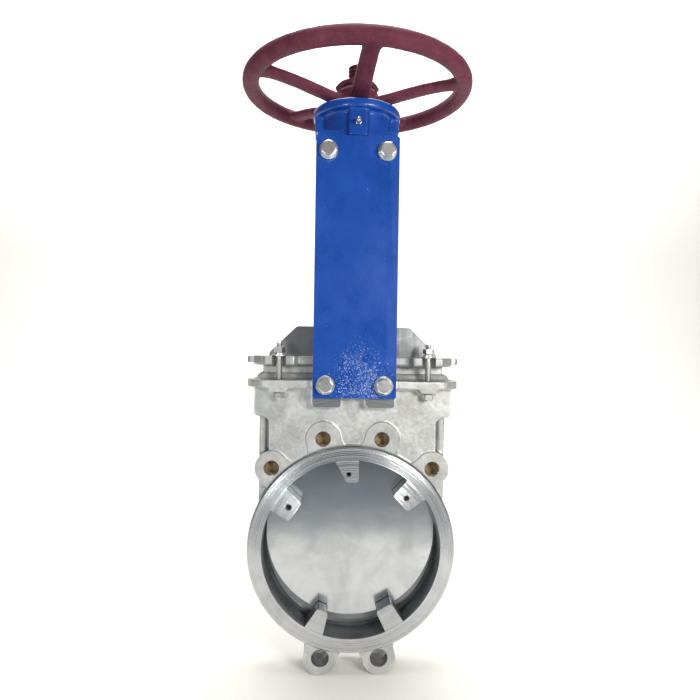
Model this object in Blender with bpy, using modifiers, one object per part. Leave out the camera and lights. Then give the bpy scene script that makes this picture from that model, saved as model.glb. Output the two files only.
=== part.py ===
"""Knife gate valve, DN 200, with a handwheel and a rising stem.

Metres, +Z up. The origin is the centre of the bore on the valve's middle plane.
The bore runs along Y: the upstream face looks along -Y, the downstream face along +Y.
The gate is modelled closed. Two parts that touch keep a gap, so that no solids overlap.
"""

import math

import bmesh
import bpy
from mathutils import Matrix, Vector

GAP = 0.0003

# Flanged ring of the body
FACE_Y = 0.030
RING_R = 0.1343
POCKET_R = 0.1155
POCKET_BACK_Y = 0.0048
SEAT_BORE_R = 0.1103
SEAT_BACK_Y = 0.0120
BORE_R = 0.100
RING_STEPS = 56
TAB_TIP_R, TAB_BACK_Y, TAB_HOLE_FLOOR_Y = 0.087, -0.006, -0.014

# Lugs on the bolt circle
BOLT_CIRCLE_R = 0.1475
LUG_R = 0.022
LUG_FLARE = math.radians(15)
LUG_REACH = 0.026
LUG_FACE_Y = 0.0265
TAPPED_ANGLES = (-45, -15, 15, 45)
CLEAR_ANGLES = (165, 195)
TAPPED_R = 0.0088
TAPPED_DEPTH = 0.019
CLEAR_R = 0.0115
CLEAR_LUG_INNER_Y = 0.0075

# Chest, top flange and stuffing box
CHEST_Y = 0.025
PANEL_X = 0.1085
SIDE_X, SIDE_Y = 0.122, 0.014
SHOULDER_X, SHOULDER_Z = 0.128, 0.171
FLANGE_Z = (0.2085, 0.2190)
FLANGE_X, FLANGE_Y, FLANGE_STRAIGHT_X = 0.1395, 0.042, 0.107
STUD_BOSS_HALF_X, STUD_BOSS_Z, STUD_BOSS_Y = (0.0096, 0.0130), 0.2030, (0.0240, 0.0417)
NECK_FOOT = (0.1310, 0.0210)
NECK_TOP = (0.1215, 0.0150)
NECK_TOP_Z = 0.2275
BOX_X, BOX_Y, BOX_FLOOR_Z = 0.119, 0.0125, 0.180
SLOT_X, SLOT_Y = 0.112, 0.0055

# Gate
GATE_X, GATE_HALF_T = 0.111, 0.0045
GATE_ARC_Z = 0.007
GATE_TOP_Z = 0.2884
GATE_CHAMFER = (0.036, 0.035)
GATE_BEVEL, GATE_BEVEL_DEPTH = 0.0094, 0.0062

# Packing and gland
PACKING_COUNT, PACKING_H = 3, 0.0077
GLAND_Z = (0.2370, 0.2490)
GLAND_Y = 0.026
TONGUE_X, TONGUE_Y, TONGUE_Z = 0.1393, 0.013, (0.240, 0.248)
STUD_X, STUD_Y, STUD_R = 0.0955, 0.034, 0.004
STUD_Z = (0.1935, 0.2665)
STUD_NUT_FLATS, STUD_NUT_H = 0.013, 0.0070
STUD_WASHER_R, SPRING_WASHER_R = 0.0100, 0.0070
STUD_WASHER_T, WASHER_STACK_H = 0.0018, 0.0042
STUD_LUG_HALF_X, STUD_LUG_Y, STUD_SLOT_HALF_X = 0.0205, 0.041, 0.0088

# Yoke
YOKE_X, YOKE_T = 0.05235, 0.008
YOKE_INNER_Y = 0.0433
YOKE_Z = (0.1976, 0.5260)
YOKE_BOLT_X, YOKE_BOLT_Z = 0.0366, (0.2139, 0.5067)
YOKE_BOLT_R, YOKE_BOLT_FLATS, YOKE_HEAD_H = 0.006, 0.018, 0.0075
YOKE_BOLT_LENGTH = 0.0275
YOKE_WASHER_R, YOKE_WASHER_T = 0.012, 0.0025
PAD_X, PAD_Z, PAD_Y = (0.017, 0.0515), (0.185, 0.229), 0.043
PAD_ROOT_Y, PAD_THREAD_DEPTH = 0.0205, 0.018

# Yoke head and its bearing housing
LEG_Y, LEG_Z = (0.030, 0.043), (0.492, 0.531)
HEAD_FLOOR_Z = (0.520, 0.534)
DRUM_R, DRUM_Z = 0.047, (0.528, 0.561)
DISC_R, DISC_Z = 0.0578, (0.560, 0.572)
HEAD_BORE_R, HOUSING_R = 0.0205, 0.031
CHEEK_X, CHEEK_Y, CHEEK_Z = (0.043, 0.055), 0.018, (0.541, 0.561)
RIB_HALF_X, RIB_Y, RIB_Z = 0.0125, 0.052, (0.5265, 0.561)
NIPPLE_R, NIPPLE_FLATS, NIPPLE_Z = 0.003, 0.007, 0.542

# Stem, stem nut and handwheel
STEM_R, STEM_Z = 0.012, (0.290, 0.634)
SLEEVE_R, WHEEL_SEAT_R = 0.0197, 0.018
COLLAR_R, COLLAR_Z = 0.030, (0.5413, 0.5493)
SLEEVE_Z, WHEEL_SEAT_Z = (0.5240, 0.5797), 0.6105
CAP_PLUG_R, CAP_FLANGE_R, CAP_Z = 0.0307, 0.038, (0.5566, 0.5723, 0.5785)
HUB_R, HUB_Z = 0.029, (0.5800, 0.5980)
WHEEL_R, RIM_R, RIM_Z = 0.1400, 0.0112, 0.6045
RIM_STEPS, RIM_SIDES = 44, 10
SPOKES, FIRST_SPOKE = 5, math.radians(5)
SPOKE_HALF_WIDTH = (0.0125, 0.0105)
SPOKE_ROOT_Z, SPOKE_ABOVE, SPOKE_BELOW = 0.5875, 0.0042, 0.0070
KEY_HALF_W, KEY_Y, KEY_Z = 0.0037, (0.0146, 0.0217), (0.5835, 0.5970)
WHEEL_WASHER_Z, WHEEL_NUT_Z, WHEEL_NUT_FLATS = (0.5983, 0.6008), (0.6011, 0.6100), 0.050

# Clevis between stem and gate
CLEVIS_X, CLEVIS_Y, CLEVIS_Z = 0.025, 0.012, (0.258, 0.306)
CLEVIS_BOSS = (0.018, 0.016)
CLEVIS_BOLT_X, CLEVIS_BOLT_Z, CLEVIS_BOLT_R = 0.0140, 0.272, 0.005
STEM_PIN_R, STEM_PIN_Z = 0.003, 0.2975

OBJECT_NAME = "knife_gate_valve"


def clear_scene():
    for obj in list(bpy.data.objects):
        bpy.data.objects.remove(obj, do_unlink=True)


def new_collection(name):
    collection = bpy.data.collections.new(name)
    bpy.context.scene.collection.children.link(collection)
    return collection


def material(name, colour, roughness, metallic):
    found = bpy.data.materials.get(name)
    if found:
        return found
    made = bpy.data.materials.new(name)
    made.use_nodes = True
    shader = made.node_tree.nodes["Principled BSDF"]
    shader.inputs["Base Color"].default_value = (*colour, 1)
    shader.inputs["Roughness"].default_value = roughness
    shader.inputs["Metallic"].default_value = metallic
    return made


def cast_steel(name):
    return material(name, (0.62, 0.62, 0.60), 0.55, 0.9)


def steel(name):
    return material(name, (0.70, 0.70, 0.68), 0.30, 1.0)


def blue_paint(name):
    return material(name, (0.012, 0.075, 0.390), 0.35, 0.0)


def maroon_paint(name):
    return material(name, (0.155, 0.055, 0.080), 0.45, 0.0)


# ---- building blocks -------------------------------------------------------


def link(obj, tool):
    (TOOLS if tool else VALVE).objects.link(obj)
    if tool:
        obj.hide_render = True
        obj.display_type = "WIRE"
    return obj


def from_bmesh(name, bm):
    mesh = bpy.data.meshes.new(name)
    bmesh.ops.recalc_face_normals(bm, faces=bm.faces)
    bm.to_mesh(mesh)
    bm.free()
    return link(bpy.data.objects.new(name, mesh), True)


def block(name, low, high, top_scale=None):
    """Box between two corners. top_scale shrinks its upper face in X and Y."""
    low, high = Vector(low), Vector(high)
    bm = bmesh.new()
    bmesh.ops.create_cube(bm, size=1)
    for vert in bm.verts:
        if top_scale and vert.co.z > 0:
            vert.co.x *= top_scale[0]
            vert.co.y *= top_scale[1]
        share = vert.co + Vector((0.5, 0.5, 0.5))
        vert.co = Vector(a + (b - a) * s for a, b, s in zip(low, high, share))
    return from_bmesh(name, bm)


def rod(name, radius, start, end, segments=32, turn=0.0):
    """Cylinder or prism between two points."""
    start, end = Vector(start), Vector(end)
    bm = bmesh.new()
    bmesh.ops.create_cone(
        bm, cap_ends=True, segments=segments, radius1=radius, radius2=radius, depth=(end - start).length
    )
    spin = Matrix.Rotation(turn, 4, "Z")
    aim = (end - start).to_track_quat("Z", "Y").to_matrix().to_4x4()
    bmesh.ops.transform(bm, matrix=Matrix.Translation((start + end) / 2) @ aim @ spin, verts=bm.verts)
    return from_bmesh(name, bm)


def turned(name, profile, steps=32):
    """Solid of revolution about Z from (radius, height) points; closed unless it ends on the axis."""
    area = sum(a[0] * b[1] - b[0] * a[1] for a, b in zip(profile, profile[1:] + profile[:1]))
    points = list(reversed(profile)) if area > 0 else list(profile)
    mesh = bpy.data.meshes.new(name)
    edges = [(i, i + 1) for i in range(len(points) - 1)]
    if points[0][0] > 0 or points[-1][0] > 0:
        edges.append((len(points) - 1, 0))
    mesh.from_pydata([(r, 0, z) for r, z in points], edges, [])
    obj = link(bpy.data.objects.new(name, mesh), True)
    screw = obj.modifiers.new("Turn", "SCREW")
    screw.steps = screw.render_steps = steps
    screw.use_merge_vertices = True
    screw.merge_threshold = 1e-6
    return obj


def along_y(obj, centre=(0, 0, 0)):
    """Lay a shape made along Z down along +Y; its own Y then points down."""
    obj.matrix_world = Matrix.Translation(centre) @ Matrix.Rotation(-math.pi / 2, 4, "X")
    return obj


def slab(name, loops, low, high, upright=False):
    """Flat outline with holes, from low to high along Z, or along Y when upright (outline in X, Z)."""
    curve = bpy.data.curves.new(name, "CURVE")
    curve.dimensions = "2D"
    curve.fill_mode = "BOTH"
    curve.extrude = (high - low) / 2
    for points in loops:
        spline = curve.splines.new("POLY")
        spline.points.add(len(points) - 1)
        for point, (x, y) in zip(spline.points, points):
            point.co = (x, y, 0, 1)
        spline.use_cyclic_u = True
    guide = link(bpy.data.objects.new(name + "_outline", curve), True)
    bpy.context.view_layer.update()
    mesh = bpy.data.meshes.new_from_object(guide.evaluated_get(bpy.context.evaluated_depsgraph_get()))
    bpy.data.objects.remove(guide)
    bm = bmesh.new()
    bm.from_mesh(mesh)
    bpy.data.meshes.remove(mesh)
    bmesh.ops.remove_doubles(bm, verts=bm.verts, dist=1e-6)
    middle = (low + high) / 2
    place = Matrix.Translation((0, middle, 0) if upright else (0, 0, middle))
    if upright:
        place = place @ Matrix.Rotation(math.pi / 2, 4, "X")
    bmesh.ops.transform(bm, matrix=place, verts=bm.verts)
    return from_bmesh(name, bm)


def arc(centre, radius, start, end, steps):
    """Points on an arc; the angles are in radians, from +X towards +Y."""
    angles = [start + (end - start) * i / steps for i in range(steps + 1)]
    return [(centre[0] + radius * math.cos(a), centre[1] + radius * math.sin(a)) for a in angles]


def hole(centre, radius, steps=16):
    return arc(centre, radius, 0, math.tau * (1 - 1 / steps), steps - 1)


def mirrored(points):
    """Close an outline whose right half runs from bottom to top."""
    return points + [(-x, y) for x, y in reversed(points)]


def rounded_box(half_x, half_y, radius, steps=4):
    """Rounded rectangle about the origin."""
    x, y = half_x - radius, half_y - radius
    corners = ((x, y, 0), (-x, y, 1), (-x, -y, 2), (x, -y, 3))
    points = []
    for cx, cy, quarter in corners:
        start = quarter * math.pi / 2
        points += arc((cx, cy), radius, start, start + math.pi / 2, steps)
    return points


def combine(target, tool, operation):
    modifier = target.modifiers.new(tool.name, "BOOLEAN")
    modifier.operation = operation
    modifier.solver = "EXACT"
    modifier.object = tool
    return target


def join(target, *tools):
    for tool in tools:
        combine(target, tool, "UNION")
    return target


def cut(target, *tools):
    for tool in tools:
        combine(target, tool, "DIFFERENCE")
    return target


def node(obj, name, finish):
    """Make a shape a part of the valve: bake its modifiers, name it and give it its material."""
    bpy.context.view_layer.update()
    graph = bpy.context.evaluated_depsgraph_get()
    mesh = bpy.data.meshes.new_from_object(obj.evaluated_get(graph))
    mesh.transform(obj.matrix_world)
    mesh.materials.clear()
    mesh.materials.append(finish)
    mesh.shade_smooth()
    mesh.set_sharp_from_angle(angle=math.radians(30))
    mesh.name = name
    part = link(bpy.data.objects.new(name, mesh), False)
    bpy.data.objects.remove(obj)
    return part


def copy_at(part, name, matrix):
    twin = link(bpy.data.objects.new(name, part.data), False)
    twin.matrix_world = matrix
    return twin


def hexagon(name, flats, low, high, chamfer=0.0006):
    """Hexagonal blank along Z, flats facing Y, with its corners turned off at both ends."""
    corner = flats / math.sqrt(3)
    blank = rod(name, corner, (0, 0, low), (0, 0, high), segments=6, turn=math.radians(30))
    slope = 0.0016
    profile = [
        (0, high + GAP),
        (flats / 2 - chamfer, high + GAP),
        (corner + GAP, high - slope),
        (corner + GAP, low + slope),
        (flats / 2 - chamfer, low - GAP),
        (0, low - GAP),
    ]
    return combine(blank, turned(name + "_form", profile, steps=12), "INTERSECT")


# ---- body ------------------------------------------------------------------


def lug_outline(angle_deg):
    """Round lug on the bolt circle whose flanks spread towards the ring; angle from +Z towards +X."""
    angle = math.radians(90 - angle_deg)
    centre = (BOLT_CIRCLE_R * math.cos(angle), BOLT_CIRCLE_R * math.sin(angle))
    side = math.pi / 2 + LUG_FLARE
    points = arc(centre, LUG_R, angle - side, angle + side, 9)
    inward = LUG_REACH / math.cos(LUG_FLARE)
    for (x, y), lean in ((points[-1], LUG_FLARE), (points[0], -LUG_FLARE)):
        direction = angle + math.pi - lean
        points.append((x + inward * math.cos(direction), y + inward * math.sin(direction)))
    return points


def on_bolt_circle(angle_deg, y=0.0):
    angle = math.radians(angle_deg)
    return Vector((BOLT_CIRCLE_R * math.sin(angle), y, BOLT_CIRCLE_R * math.cos(angle)))


def flange_outline():
    depth = FLANGE_X - FLANGE_STRAIGHT_X
    steps = 8
    angles = [math.pi * (i / steps - 0.5) for i in range(steps + 1)]
    right = [(FLANGE_STRAIGHT_X + depth * math.cos(a), FLANGE_Y * math.sin(a)) for a in angles]
    return mirrored(right)


def guide_tab(angle_deg, left, right, hole_r=0.0, hole_at=(0, 0)):
    """Cast tab that keeps the gate against its seat; left and right are its X at the root and at the tip."""
    root_r, round_r = POCKET_R + 0.004, 0.003
    outline = [
        (right[0], root_r),
        (right[1], TAB_TIP_R + round_r),
        (right[1] - round_r, TAB_TIP_R),
        (left[1] + round_r, TAB_TIP_R),
        (left[1], TAB_TIP_R + round_r),
        (left[0], root_r),
    ]
    tab = slab("tab", [outline], -FACE_Y + GAP, TAB_BACK_Y, upright=True)
    if hole_r:
        x, z = hole_at
        drill = rod("tab_drill", hole_r, (x, -FACE_Y - 0.001, z), (x, TAB_HOLE_FLOOR_Y, z), 10)
        cut(tab, drill)
    tab.matrix_world = Matrix.Rotation(math.radians(angle_deg), 4, "Y")
    for modifier in tab.modifiers:
        modifier.object.matrix_world = tab.matrix_world
    return tab


def make_body():
    body = along_y(
        turned(
            "ring",
            [
                (BORE_R - 0.012, FACE_Y),
                (RING_R - 0.0015, FACE_Y),
                (RING_R, FACE_Y - 0.0015),
                (RING_R, -FACE_Y + 0.0015),
                (RING_R - 0.0015, -FACE_Y),
                (BORE_R - 0.012, -FACE_Y),
            ],
            RING_STEPS,
        )
    )
    join(
        body,
        block("panel", (-PANEL_X, -CHEST_Y, 0.030), (PANEL_X, CHEST_Y, SHOULDER_Z + 0.006)),
        block("side_strips", (-SIDE_X, -SIDE_Y, 0.020), (SIDE_X, SIDE_Y, SHOULDER_Z + 0.008)),
        block("shoulder", (-SHOULDER_X, -CHEST_Y - GAP, SHOULDER_Z), (SHOULDER_X, CHEST_Y + GAP, 0.212)),
        slab("flange", [flange_outline()], *FLANGE_Z),
    )
    neck_scale = (NECK_TOP[0] / NECK_FOOT[0], NECK_TOP[1] / NECK_FOOT[1])
    foot_x, foot_y = NECK_FOOT
    neck_low = (-foot_x, -foot_y, FLANGE_Z[1] - 0.002)
    join(body, block("neck", neck_low, (foot_x, foot_y, NECK_TOP_Z), top_scale=neck_scale))
    for side in (-1, 1):
        for front in (-1, 1):
            low_x, high_x = sorted((side * PAD_X[0], side * PAD_X[1]))
            low_y, high_y = sorted((front * PAD_ROOT_Y, front * PAD_Y))
            join(body, block("yoke_pad", (low_x, low_y, PAD_Z[0]), (high_x, high_y, PAD_Z[1])))
    low_half, top_half = STUD_BOSS_HALF_X
    boss_top = FLANGE_Z[0] + 0.002
    for x in (-STUD_X, STUD_X):
        low = [(x - low_half, STUD_BOSS_Z), (x + low_half, STUD_BOSS_Z)]
        outline = low + [(x + top_half, boss_top), (x - top_half, boss_top)]
        for front in (-1, 1):
            join(body, slab("stud_boss", [outline], *sorted(front * y for y in STUD_BOSS_Y), upright=True))
    for angle in TAPPED_ANGLES:
        join(body, slab("lug", [lug_outline(angle)], -LUG_FACE_Y, LUG_FACE_Y, upright=True))
    for angle in CLEAR_ANGLES:
        for low, high in ((-LUG_FACE_Y, -CLEAR_LUG_INNER_Y), (CLEAR_LUG_INNER_Y, LUG_FACE_Y)):
            join(body, slab("lug", [lug_outline(angle)], low, high, upright=True))
    past = 0.001
    bore = along_y(
        turned(
            "bore",
            [
                (0, FACE_Y + past),
                (BORE_R, FACE_Y + past),
                (BORE_R, SEAT_BACK_Y),
                (SEAT_BORE_R, SEAT_BACK_Y),
                (SEAT_BORE_R, POCKET_BACK_Y),
                (POCKET_R, POCKET_BACK_Y),
                (POCKET_R, -FACE_Y - past),
                (0, -FACE_Y - past),
            ],
            RING_STEPS,
        )
    )
    cut(
        body,
        bore,
        block("gate_slot", (-SLOT_X, -SLOT_Y, 0.0), (SLOT_X, SLOT_Y, BOX_FLOOR_Z + past)),
        block("stuffing_box", (-BOX_X, -BOX_Y, BOX_FLOOR_Z), (BOX_X, BOX_Y, NECK_TOP_Z + past)),
    )
    for angle in TAPPED_ANGLES:
        for front in (-1, 1):
            mouth, floor = front * (LUG_FACE_Y + past), front * (LUG_FACE_Y - TAPPED_DEPTH)
            ends = [on_bolt_circle(angle, y) for y in (mouth, floor)]
            cut(body, rod("tapped", TAPPED_R, *ends, 14))
    for angle in CLEAR_ANGLES:
        ends = [on_bolt_circle(angle, y) for y in (-LUG_FACE_Y - past, LUG_FACE_Y + past)]
        cut(body, rod("clear", CLEAR_R, *ends, 16))
    for x in (-STUD_X, STUD_X):
        for y in (-STUD_Y, STUD_Y):
            ends = [(x, y, STUD_BOSS_Z - past), (x, y, FLANGE_Z[1] + past)]
            cut(body, rod("stud_hole", STUD_R + GAP, *ends, 12))
    for x in (-YOKE_BOLT_X, YOKE_BOLT_X):
        for front in (-1, 1):
            mouth = (x, front * (PAD_Y + past), YOKE_BOLT_Z[0])
            floor = (x, front * (PAD_Y - PAD_THREAD_DEPTH), YOKE_BOLT_Z[0])
            cut(body, rod("pad_thread", YOKE_BOLT_R + GAP, mouth, floor, 12))
    join(
        body,
        guide_tab(0.5, (-0.0265, -0.0096), (0.0076, 0.0076), 0.0036, (-0.0052, 0.0974)),
        guide_tab(-55.5, (-0.0171, -0.0158), (0.0182, 0.0134), 0.0042, (-0.0012, 0.0980)),
        guide_tab(47.5, (-0.0184, -0.0156), (0.0167, 0.0125), 0.0036, (-0.0013, 0.0974)),
        guide_tab(150, (-0.0135, -0.0115), (0.0135, 0.0115)),
        guide_tab(-156, (-0.0138, -0.0080), (0.0138, 0.0080)),
    )
    node(body, "body", cast_steel("cast stainless steel"))


def make_seat_ring():
    profile = [
        (BORE_R, POCKET_BACK_Y),
        (SEAT_BORE_R - GAP, POCKET_BACK_Y),
        (SEAT_BORE_R - GAP, SEAT_BACK_Y - GAP),
        (BORE_R, SEAT_BACK_Y - GAP),
    ]
    ring = along_y(turned("seat", profile, RING_STEPS))
    node(ring, "seat_ring", material("seat ring", (0.55, 0.55, 0.53), 0.35, 1.0))


# ---- gate, packing and gland -------------------------------------------------


def make_gate():
    chamfer_x, chamfer_z = GATE_CHAMFER
    bottom = arc((0, GATE_ARC_Z), GATE_X, -math.pi / 2, 0, 14)
    right = bottom + [(GATE_X, GATE_TOP_Z - chamfer_z), (GATE_X - chamfer_x, GATE_TOP_Z)]
    gate = slab("plate", [mirrored(right[1:]) + right[:1]], -GATE_HALF_T, GATE_HALF_T, upright=True)
    past = 0.002
    slope = GATE_BEVEL_DEPTH / GATE_BEVEL
    outer_r, middle_z = GATE_X + GATE_BEVEL, GATE_ARC_Z + GATE_BEVEL
    profile = [
        (GATE_X - past, -GATE_HALF_T - past * slope),
        (outer_r + past, -GATE_HALF_T + GATE_BEVEL_DEPTH + past * slope),
        (outer_r + past, -GATE_HALF_T - past * slope),
    ]
    bevel = along_y(turned("bevel", profile, RING_STEPS), (0, 0, middle_z))
    cut(bevel, block("upper_half", (-0.2, -0.1, middle_z - GAP), (0.2, 0.1, 0.3)))
    cut(gate, bevel)
    for x in (-CLEVIS_BOLT_X, CLEVIS_BOLT_X):
        ends = [(x, y, CLEVIS_BOLT_Z) for y in (-CLEVIS_Y, CLEVIS_Y)]
        cut(gate, rod("clevis_hole", CLEVIS_BOLT_R + GAP, *ends, 12))
    node(gate, "gate", material("polished gate steel", (0.60, 0.61, 0.61), 0.18, 1.0))


def make_packing():
    outer = rounded_box(BOX_X - GAP, BOX_Y - GAP, 0.001, 2)
    inner = rounded_box(GATE_X + GAP, GATE_HALF_T + GAP, 0.001, 2)
    finish = material("packing braid", (0.30, 0.29, 0.27), 0.9, 0.0)
    for index in range(PACKING_COUNT):
        low = BOX_FLOOR_Z + GAP + index * (PACKING_H + GAP)
        ring = slab("ring", [outer, inner], low, low + PACKING_H)
        node(ring, f"packing_ring_{index + 1}", finish)


def gland_outline():
    """Right half of the gland plate, from its front edge to its back edge."""
    lug_in, lug_out = STUD_X - STUD_LUG_HALF_X, STUD_X + STUD_LUG_HALF_X
    front = [
        (lug_in - 0.004, -GLAND_Y),
        (lug_in, -GLAND_Y - 0.004),
        (lug_in, -STUD_LUG_Y + 0.002),
        (lug_in + 0.002, -STUD_LUG_Y),
        (lug_out - 0.003, -STUD_LUG_Y),
        (lug_out, -STUD_LUG_Y + 0.004),
        (lug_out + 0.003, -0.028),
        (0.126, -0.020),
        (0.131, -0.010),
    ]
    return mirrored(front + [(x, -y) for x, y in reversed(front)])


def make_gland():
    packing_top = BOX_FLOOR_Z + PACKING_COUNT * (PACKING_H + GAP)
    gland = slab("gland_plate", [gland_outline()], *GLAND_Z)
    collar = rounded_box(BOX_X - GAP, BOX_Y - GAP, 0.001, 2)
    tongue = rounded_box(TONGUE_X, TONGUE_Y, 0.006, 4)
    join(
        gland,
        slab("collar", [collar], packing_top + GAP, GLAND_Z[0] + 0.004),
        slab("tongues", [tongue], *TONGUE_Z),
    )
    way = 0.0004
    slot_x, slot_y = GATE_X + way, GATE_HALF_T + way
    cut(gland, block("gate_way", (-slot_x, -slot_y, packing_top), (slot_x, slot_y, GLAND_Z[1] + 0.001)))
    for x in (-STUD_X, STUD_X):
        for front in (-1, 1):
            ends = (front * STUD_Y, front * (STUD_LUG_Y + 0.002))
            low_x, high_x = x - STUD_SLOT_HALF_X, x + STUD_SLOT_HALF_X
            notch = block("notch", (low_x, min(ends), 0.23), (high_x, max(ends), 0.26))
            seat = rod("notch_end", STUD_SLOT_HALF_X, (x, ends[0], 0.229), (x, ends[0], 0.261), 14)
            cut(gland, seat, notch)
    node(gland, "gland", cast_steel("cast gland steel"))


def make_gland_fasteners():
    """Four studs; each has a nut under the flange, and a washer and a nut on the gland."""
    stud = turned(
        "stud",
        [
            (0, STUD_Z[1]),
            (STUD_R - 0.001, STUD_Z[1]),
            (STUD_R, STUD_Z[1] - 0.001),
            (STUD_R, STUD_Z[0] + 0.001),
            (STUD_R - 0.001, STUD_Z[0]),
            (0, STUD_Z[0]),
        ],
        12,
    )
    low = GLAND_Z[1] + GAP
    washer = turned(
        "washer",
        [
            (STUD_R + GAP, low),
            (STUD_WASHER_R, low),
            (STUD_WASHER_R, low + STUD_WASHER_T),
            (SPRING_WASHER_R, low + STUD_WASHER_T),
            (SPRING_WASHER_R, low + WASHER_STACK_H),
            (STUD_R + GAP, low + WASHER_STACK_H),
        ],
        16,
    )
    upper_low, lower_top = low + WASHER_STACK_H + GAP, STUD_BOSS_Z - GAP
    upper = hexagon("upper", STUD_NUT_FLATS, upper_low, upper_low + STUD_NUT_H)
    lower = hexagon("lower", STUD_NUT_FLATS, lower_top - STUD_NUT_H, lower_top)
    for nut in (upper, lower):
        cut(nut, rod("nut_bore", STUD_R + GAP, (0, 0, 0.19), (0, 0, 0.28), 12))
    zinc = steel("zinc plated steel")
    places = [(x, y) for y in (-STUD_Y, STUD_Y) for x in (-STUD_X, STUD_X)]
    for kind, shape in (("stud", stud), ("washer", washer), ("upper_nut", upper), ("lower_nut", lower)):
        first = node(shape, f"gland_{kind}_1", zinc)
        for index, (x, y) in enumerate(places, 1):
            matrix = Matrix.Translation((x, y, 0))
            if index == 1:
                first.matrix_world = matrix
            else:
                copy_at(first, f"gland_{kind}_{index}", matrix)


# ---- yoke --------------------------------------------------------------------


def make_yoke_plates():
    height = YOKE_Z[1] - YOKE_Z[0]
    middle = sum(YOKE_Z) / 2
    outline = [(x, z + middle) for x, z in rounded_box(YOKE_X, height / 2, 0.003, 3)]
    holes = [hole((x, z), YOKE_BOLT_R + 0.0007) for z in YOKE_BOLT_Z for x in (-YOKE_BOLT_X, YOKE_BOLT_X)]
    for name, front in (("yoke_plate_front", -1), ("yoke_plate_back", 1)):
        low, high = sorted((front * YOKE_INNER_Y, front * (YOKE_INNER_Y + YOKE_T)))
        plate = slab("plate", [outline, *holes], low, high, upright=True)
        node(plate, name, blue_paint("blue gloss paint"))


def make_yoke_fasteners():
    """Hexagon bolts with washers, two above and two below on each plate."""
    head = hexagon("head", YOKE_BOLT_FLATS, 0, YOKE_HEAD_H)
    bolt = join(head, rod("shank", YOKE_BOLT_R, (0, 0, -YOKE_BOLT_LENGTH), (0, 0, 0.002), 12))
    washer = turned(
        "washer",
        [
            (YOKE_BOLT_R + GAP, YOKE_WASHER_T),
            (YOKE_WASHER_R, YOKE_WASHER_T),
            (YOKE_WASHER_R, 0),
            (YOKE_BOLT_R + GAP, 0),
        ],
        20,
    )
    zinc = steel("zinc plated steel")
    first_bolt = node(bolt, "yoke_bolt_front_lower_left", zinc)
    first_washer = node(washer, "yoke_washer_front_lower_left", zinc)
    washer_y = YOKE_INNER_Y + YOKE_T + GAP
    head_y = washer_y + YOKE_WASHER_T + GAP
    for front, face in ((-1, "front"), (1, "back")):
        for z, level in zip(YOKE_BOLT_Z, ("lower", "upper")):
            for x, side in ((-YOKE_BOLT_X, "left"), (YOKE_BOLT_X, "right")):
                outward = Matrix.Rotation(-front * math.pi / 2, 4, "X")
                place = f"{face}_{level}_{side}"
                for part, kind, y in ((first_bolt, "bolt", head_y), (first_washer, "washer", washer_y)):
                    matrix = Matrix.Translation((x, front * y, z)) @ outward
                    if part.name == f"yoke_{kind}_{place}":
                        part.matrix_world = matrix
                    else:
                        copy_at(part, f"yoke_{kind}_{place}", matrix)


def make_yoke_head():
    head = turned(
        "drum",
        [
            (0, DISC_Z[1]),
            (DISC_R - 0.003, DISC_Z[1]),
            (DISC_R, DISC_Z[1] - 0.003),
            (DISC_R, DISC_Z[0] + 0.002),
            (DISC_R - 0.002, DISC_Z[0]),
            (DRUM_R + 0.002, DISC_Z[0]),
            (DRUM_R, DISC_Z[0] - 0.002),
            (DRUM_R, DRUM_Z[0]),
            (0, DRUM_Z[0]),
        ],
        40,
    )
    half_x = YOKE_X - 0.0008
    half_y = LEG_Y[1] - GAP
    join(head, block("bridge", (-half_x, -half_y, HEAD_FLOOR_Z[0]), (half_x, half_y, HEAD_FLOOR_Z[1])))
    for front in (-1, 1):
        low_y, high_y = sorted((front * LEG_Y[0], front * LEG_Y[1]))
        join(head, block("leg", (-half_x + GAP, low_y, LEG_Z[0]), (half_x - GAP, high_y, LEG_Z[1])))
    for side in (-1, 1):
        low_x, high_x = sorted((side * CHEEK_X[0], side * CHEEK_X[1]))
        join(head, block("cheek", (low_x, -CHEEK_Y, CHEEK_Z[0]), (high_x, CHEEK_Y, CHEEK_Z[1])))
    join(head, block("grease_rib", (-RIB_HALF_X, -RIB_Y, RIB_Z[0]), (RIB_HALF_X, -0.034, RIB_Z[1])))
    cut(
        head,
        rod("head_bore", HEAD_BORE_R, (0, 0, 0.5), (0, 0, 0.58), 28),
        rod("housing", HOUSING_R, (0, 0, HEAD_FLOOR_Z[1]), (0, 0, 0.58), 40),
        rod("grease_way", NIPPLE_R + GAP, (0, -0.060, NIPPLE_Z), (0, -0.028, NIPPLE_Z), 10),
    )
    for x in (-YOKE_BOLT_X, YOKE_BOLT_X):
        ends = [(x, y, YOKE_BOLT_Z[1]) for y in (-0.05, 0.05)]
        cut(head, rod("leg_thread", YOKE_BOLT_R + GAP, *ends, 12))
    node(head, "yoke_head", blue_paint("blue gloss paint"))


def make_grease_nipple():
    base = RIB_Y + GAP
    nipple = turned(
        "nipple",
        [
            (0, base + 0.0130),
            (0.0017, base + 0.0126),
            (0.0032, base + 0.0105),
            (0.0020, base + 0.0080),
            (0.0034, base + 0.0050),
            (0.0034, base + 0.0030),
            (NIPPLE_R, base + 0.0030),
            (NIPPLE_R, base - 0.0100),
            (0, base - 0.0100),
        ],
        10,
    )
    join(nipple, rod("nipple_hex", NIPPLE_FLATS / math.sqrt(3), (0, 0, base), (0, 0, base + 0.0040), 6))
    part = node(nipple, "grease_nipple", steel("nipple steel"))
    part.matrix_world = Matrix.Translation((0, 0, NIPPLE_Z)) @ Matrix.Rotation(math.pi / 2, 4, "X")


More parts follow.
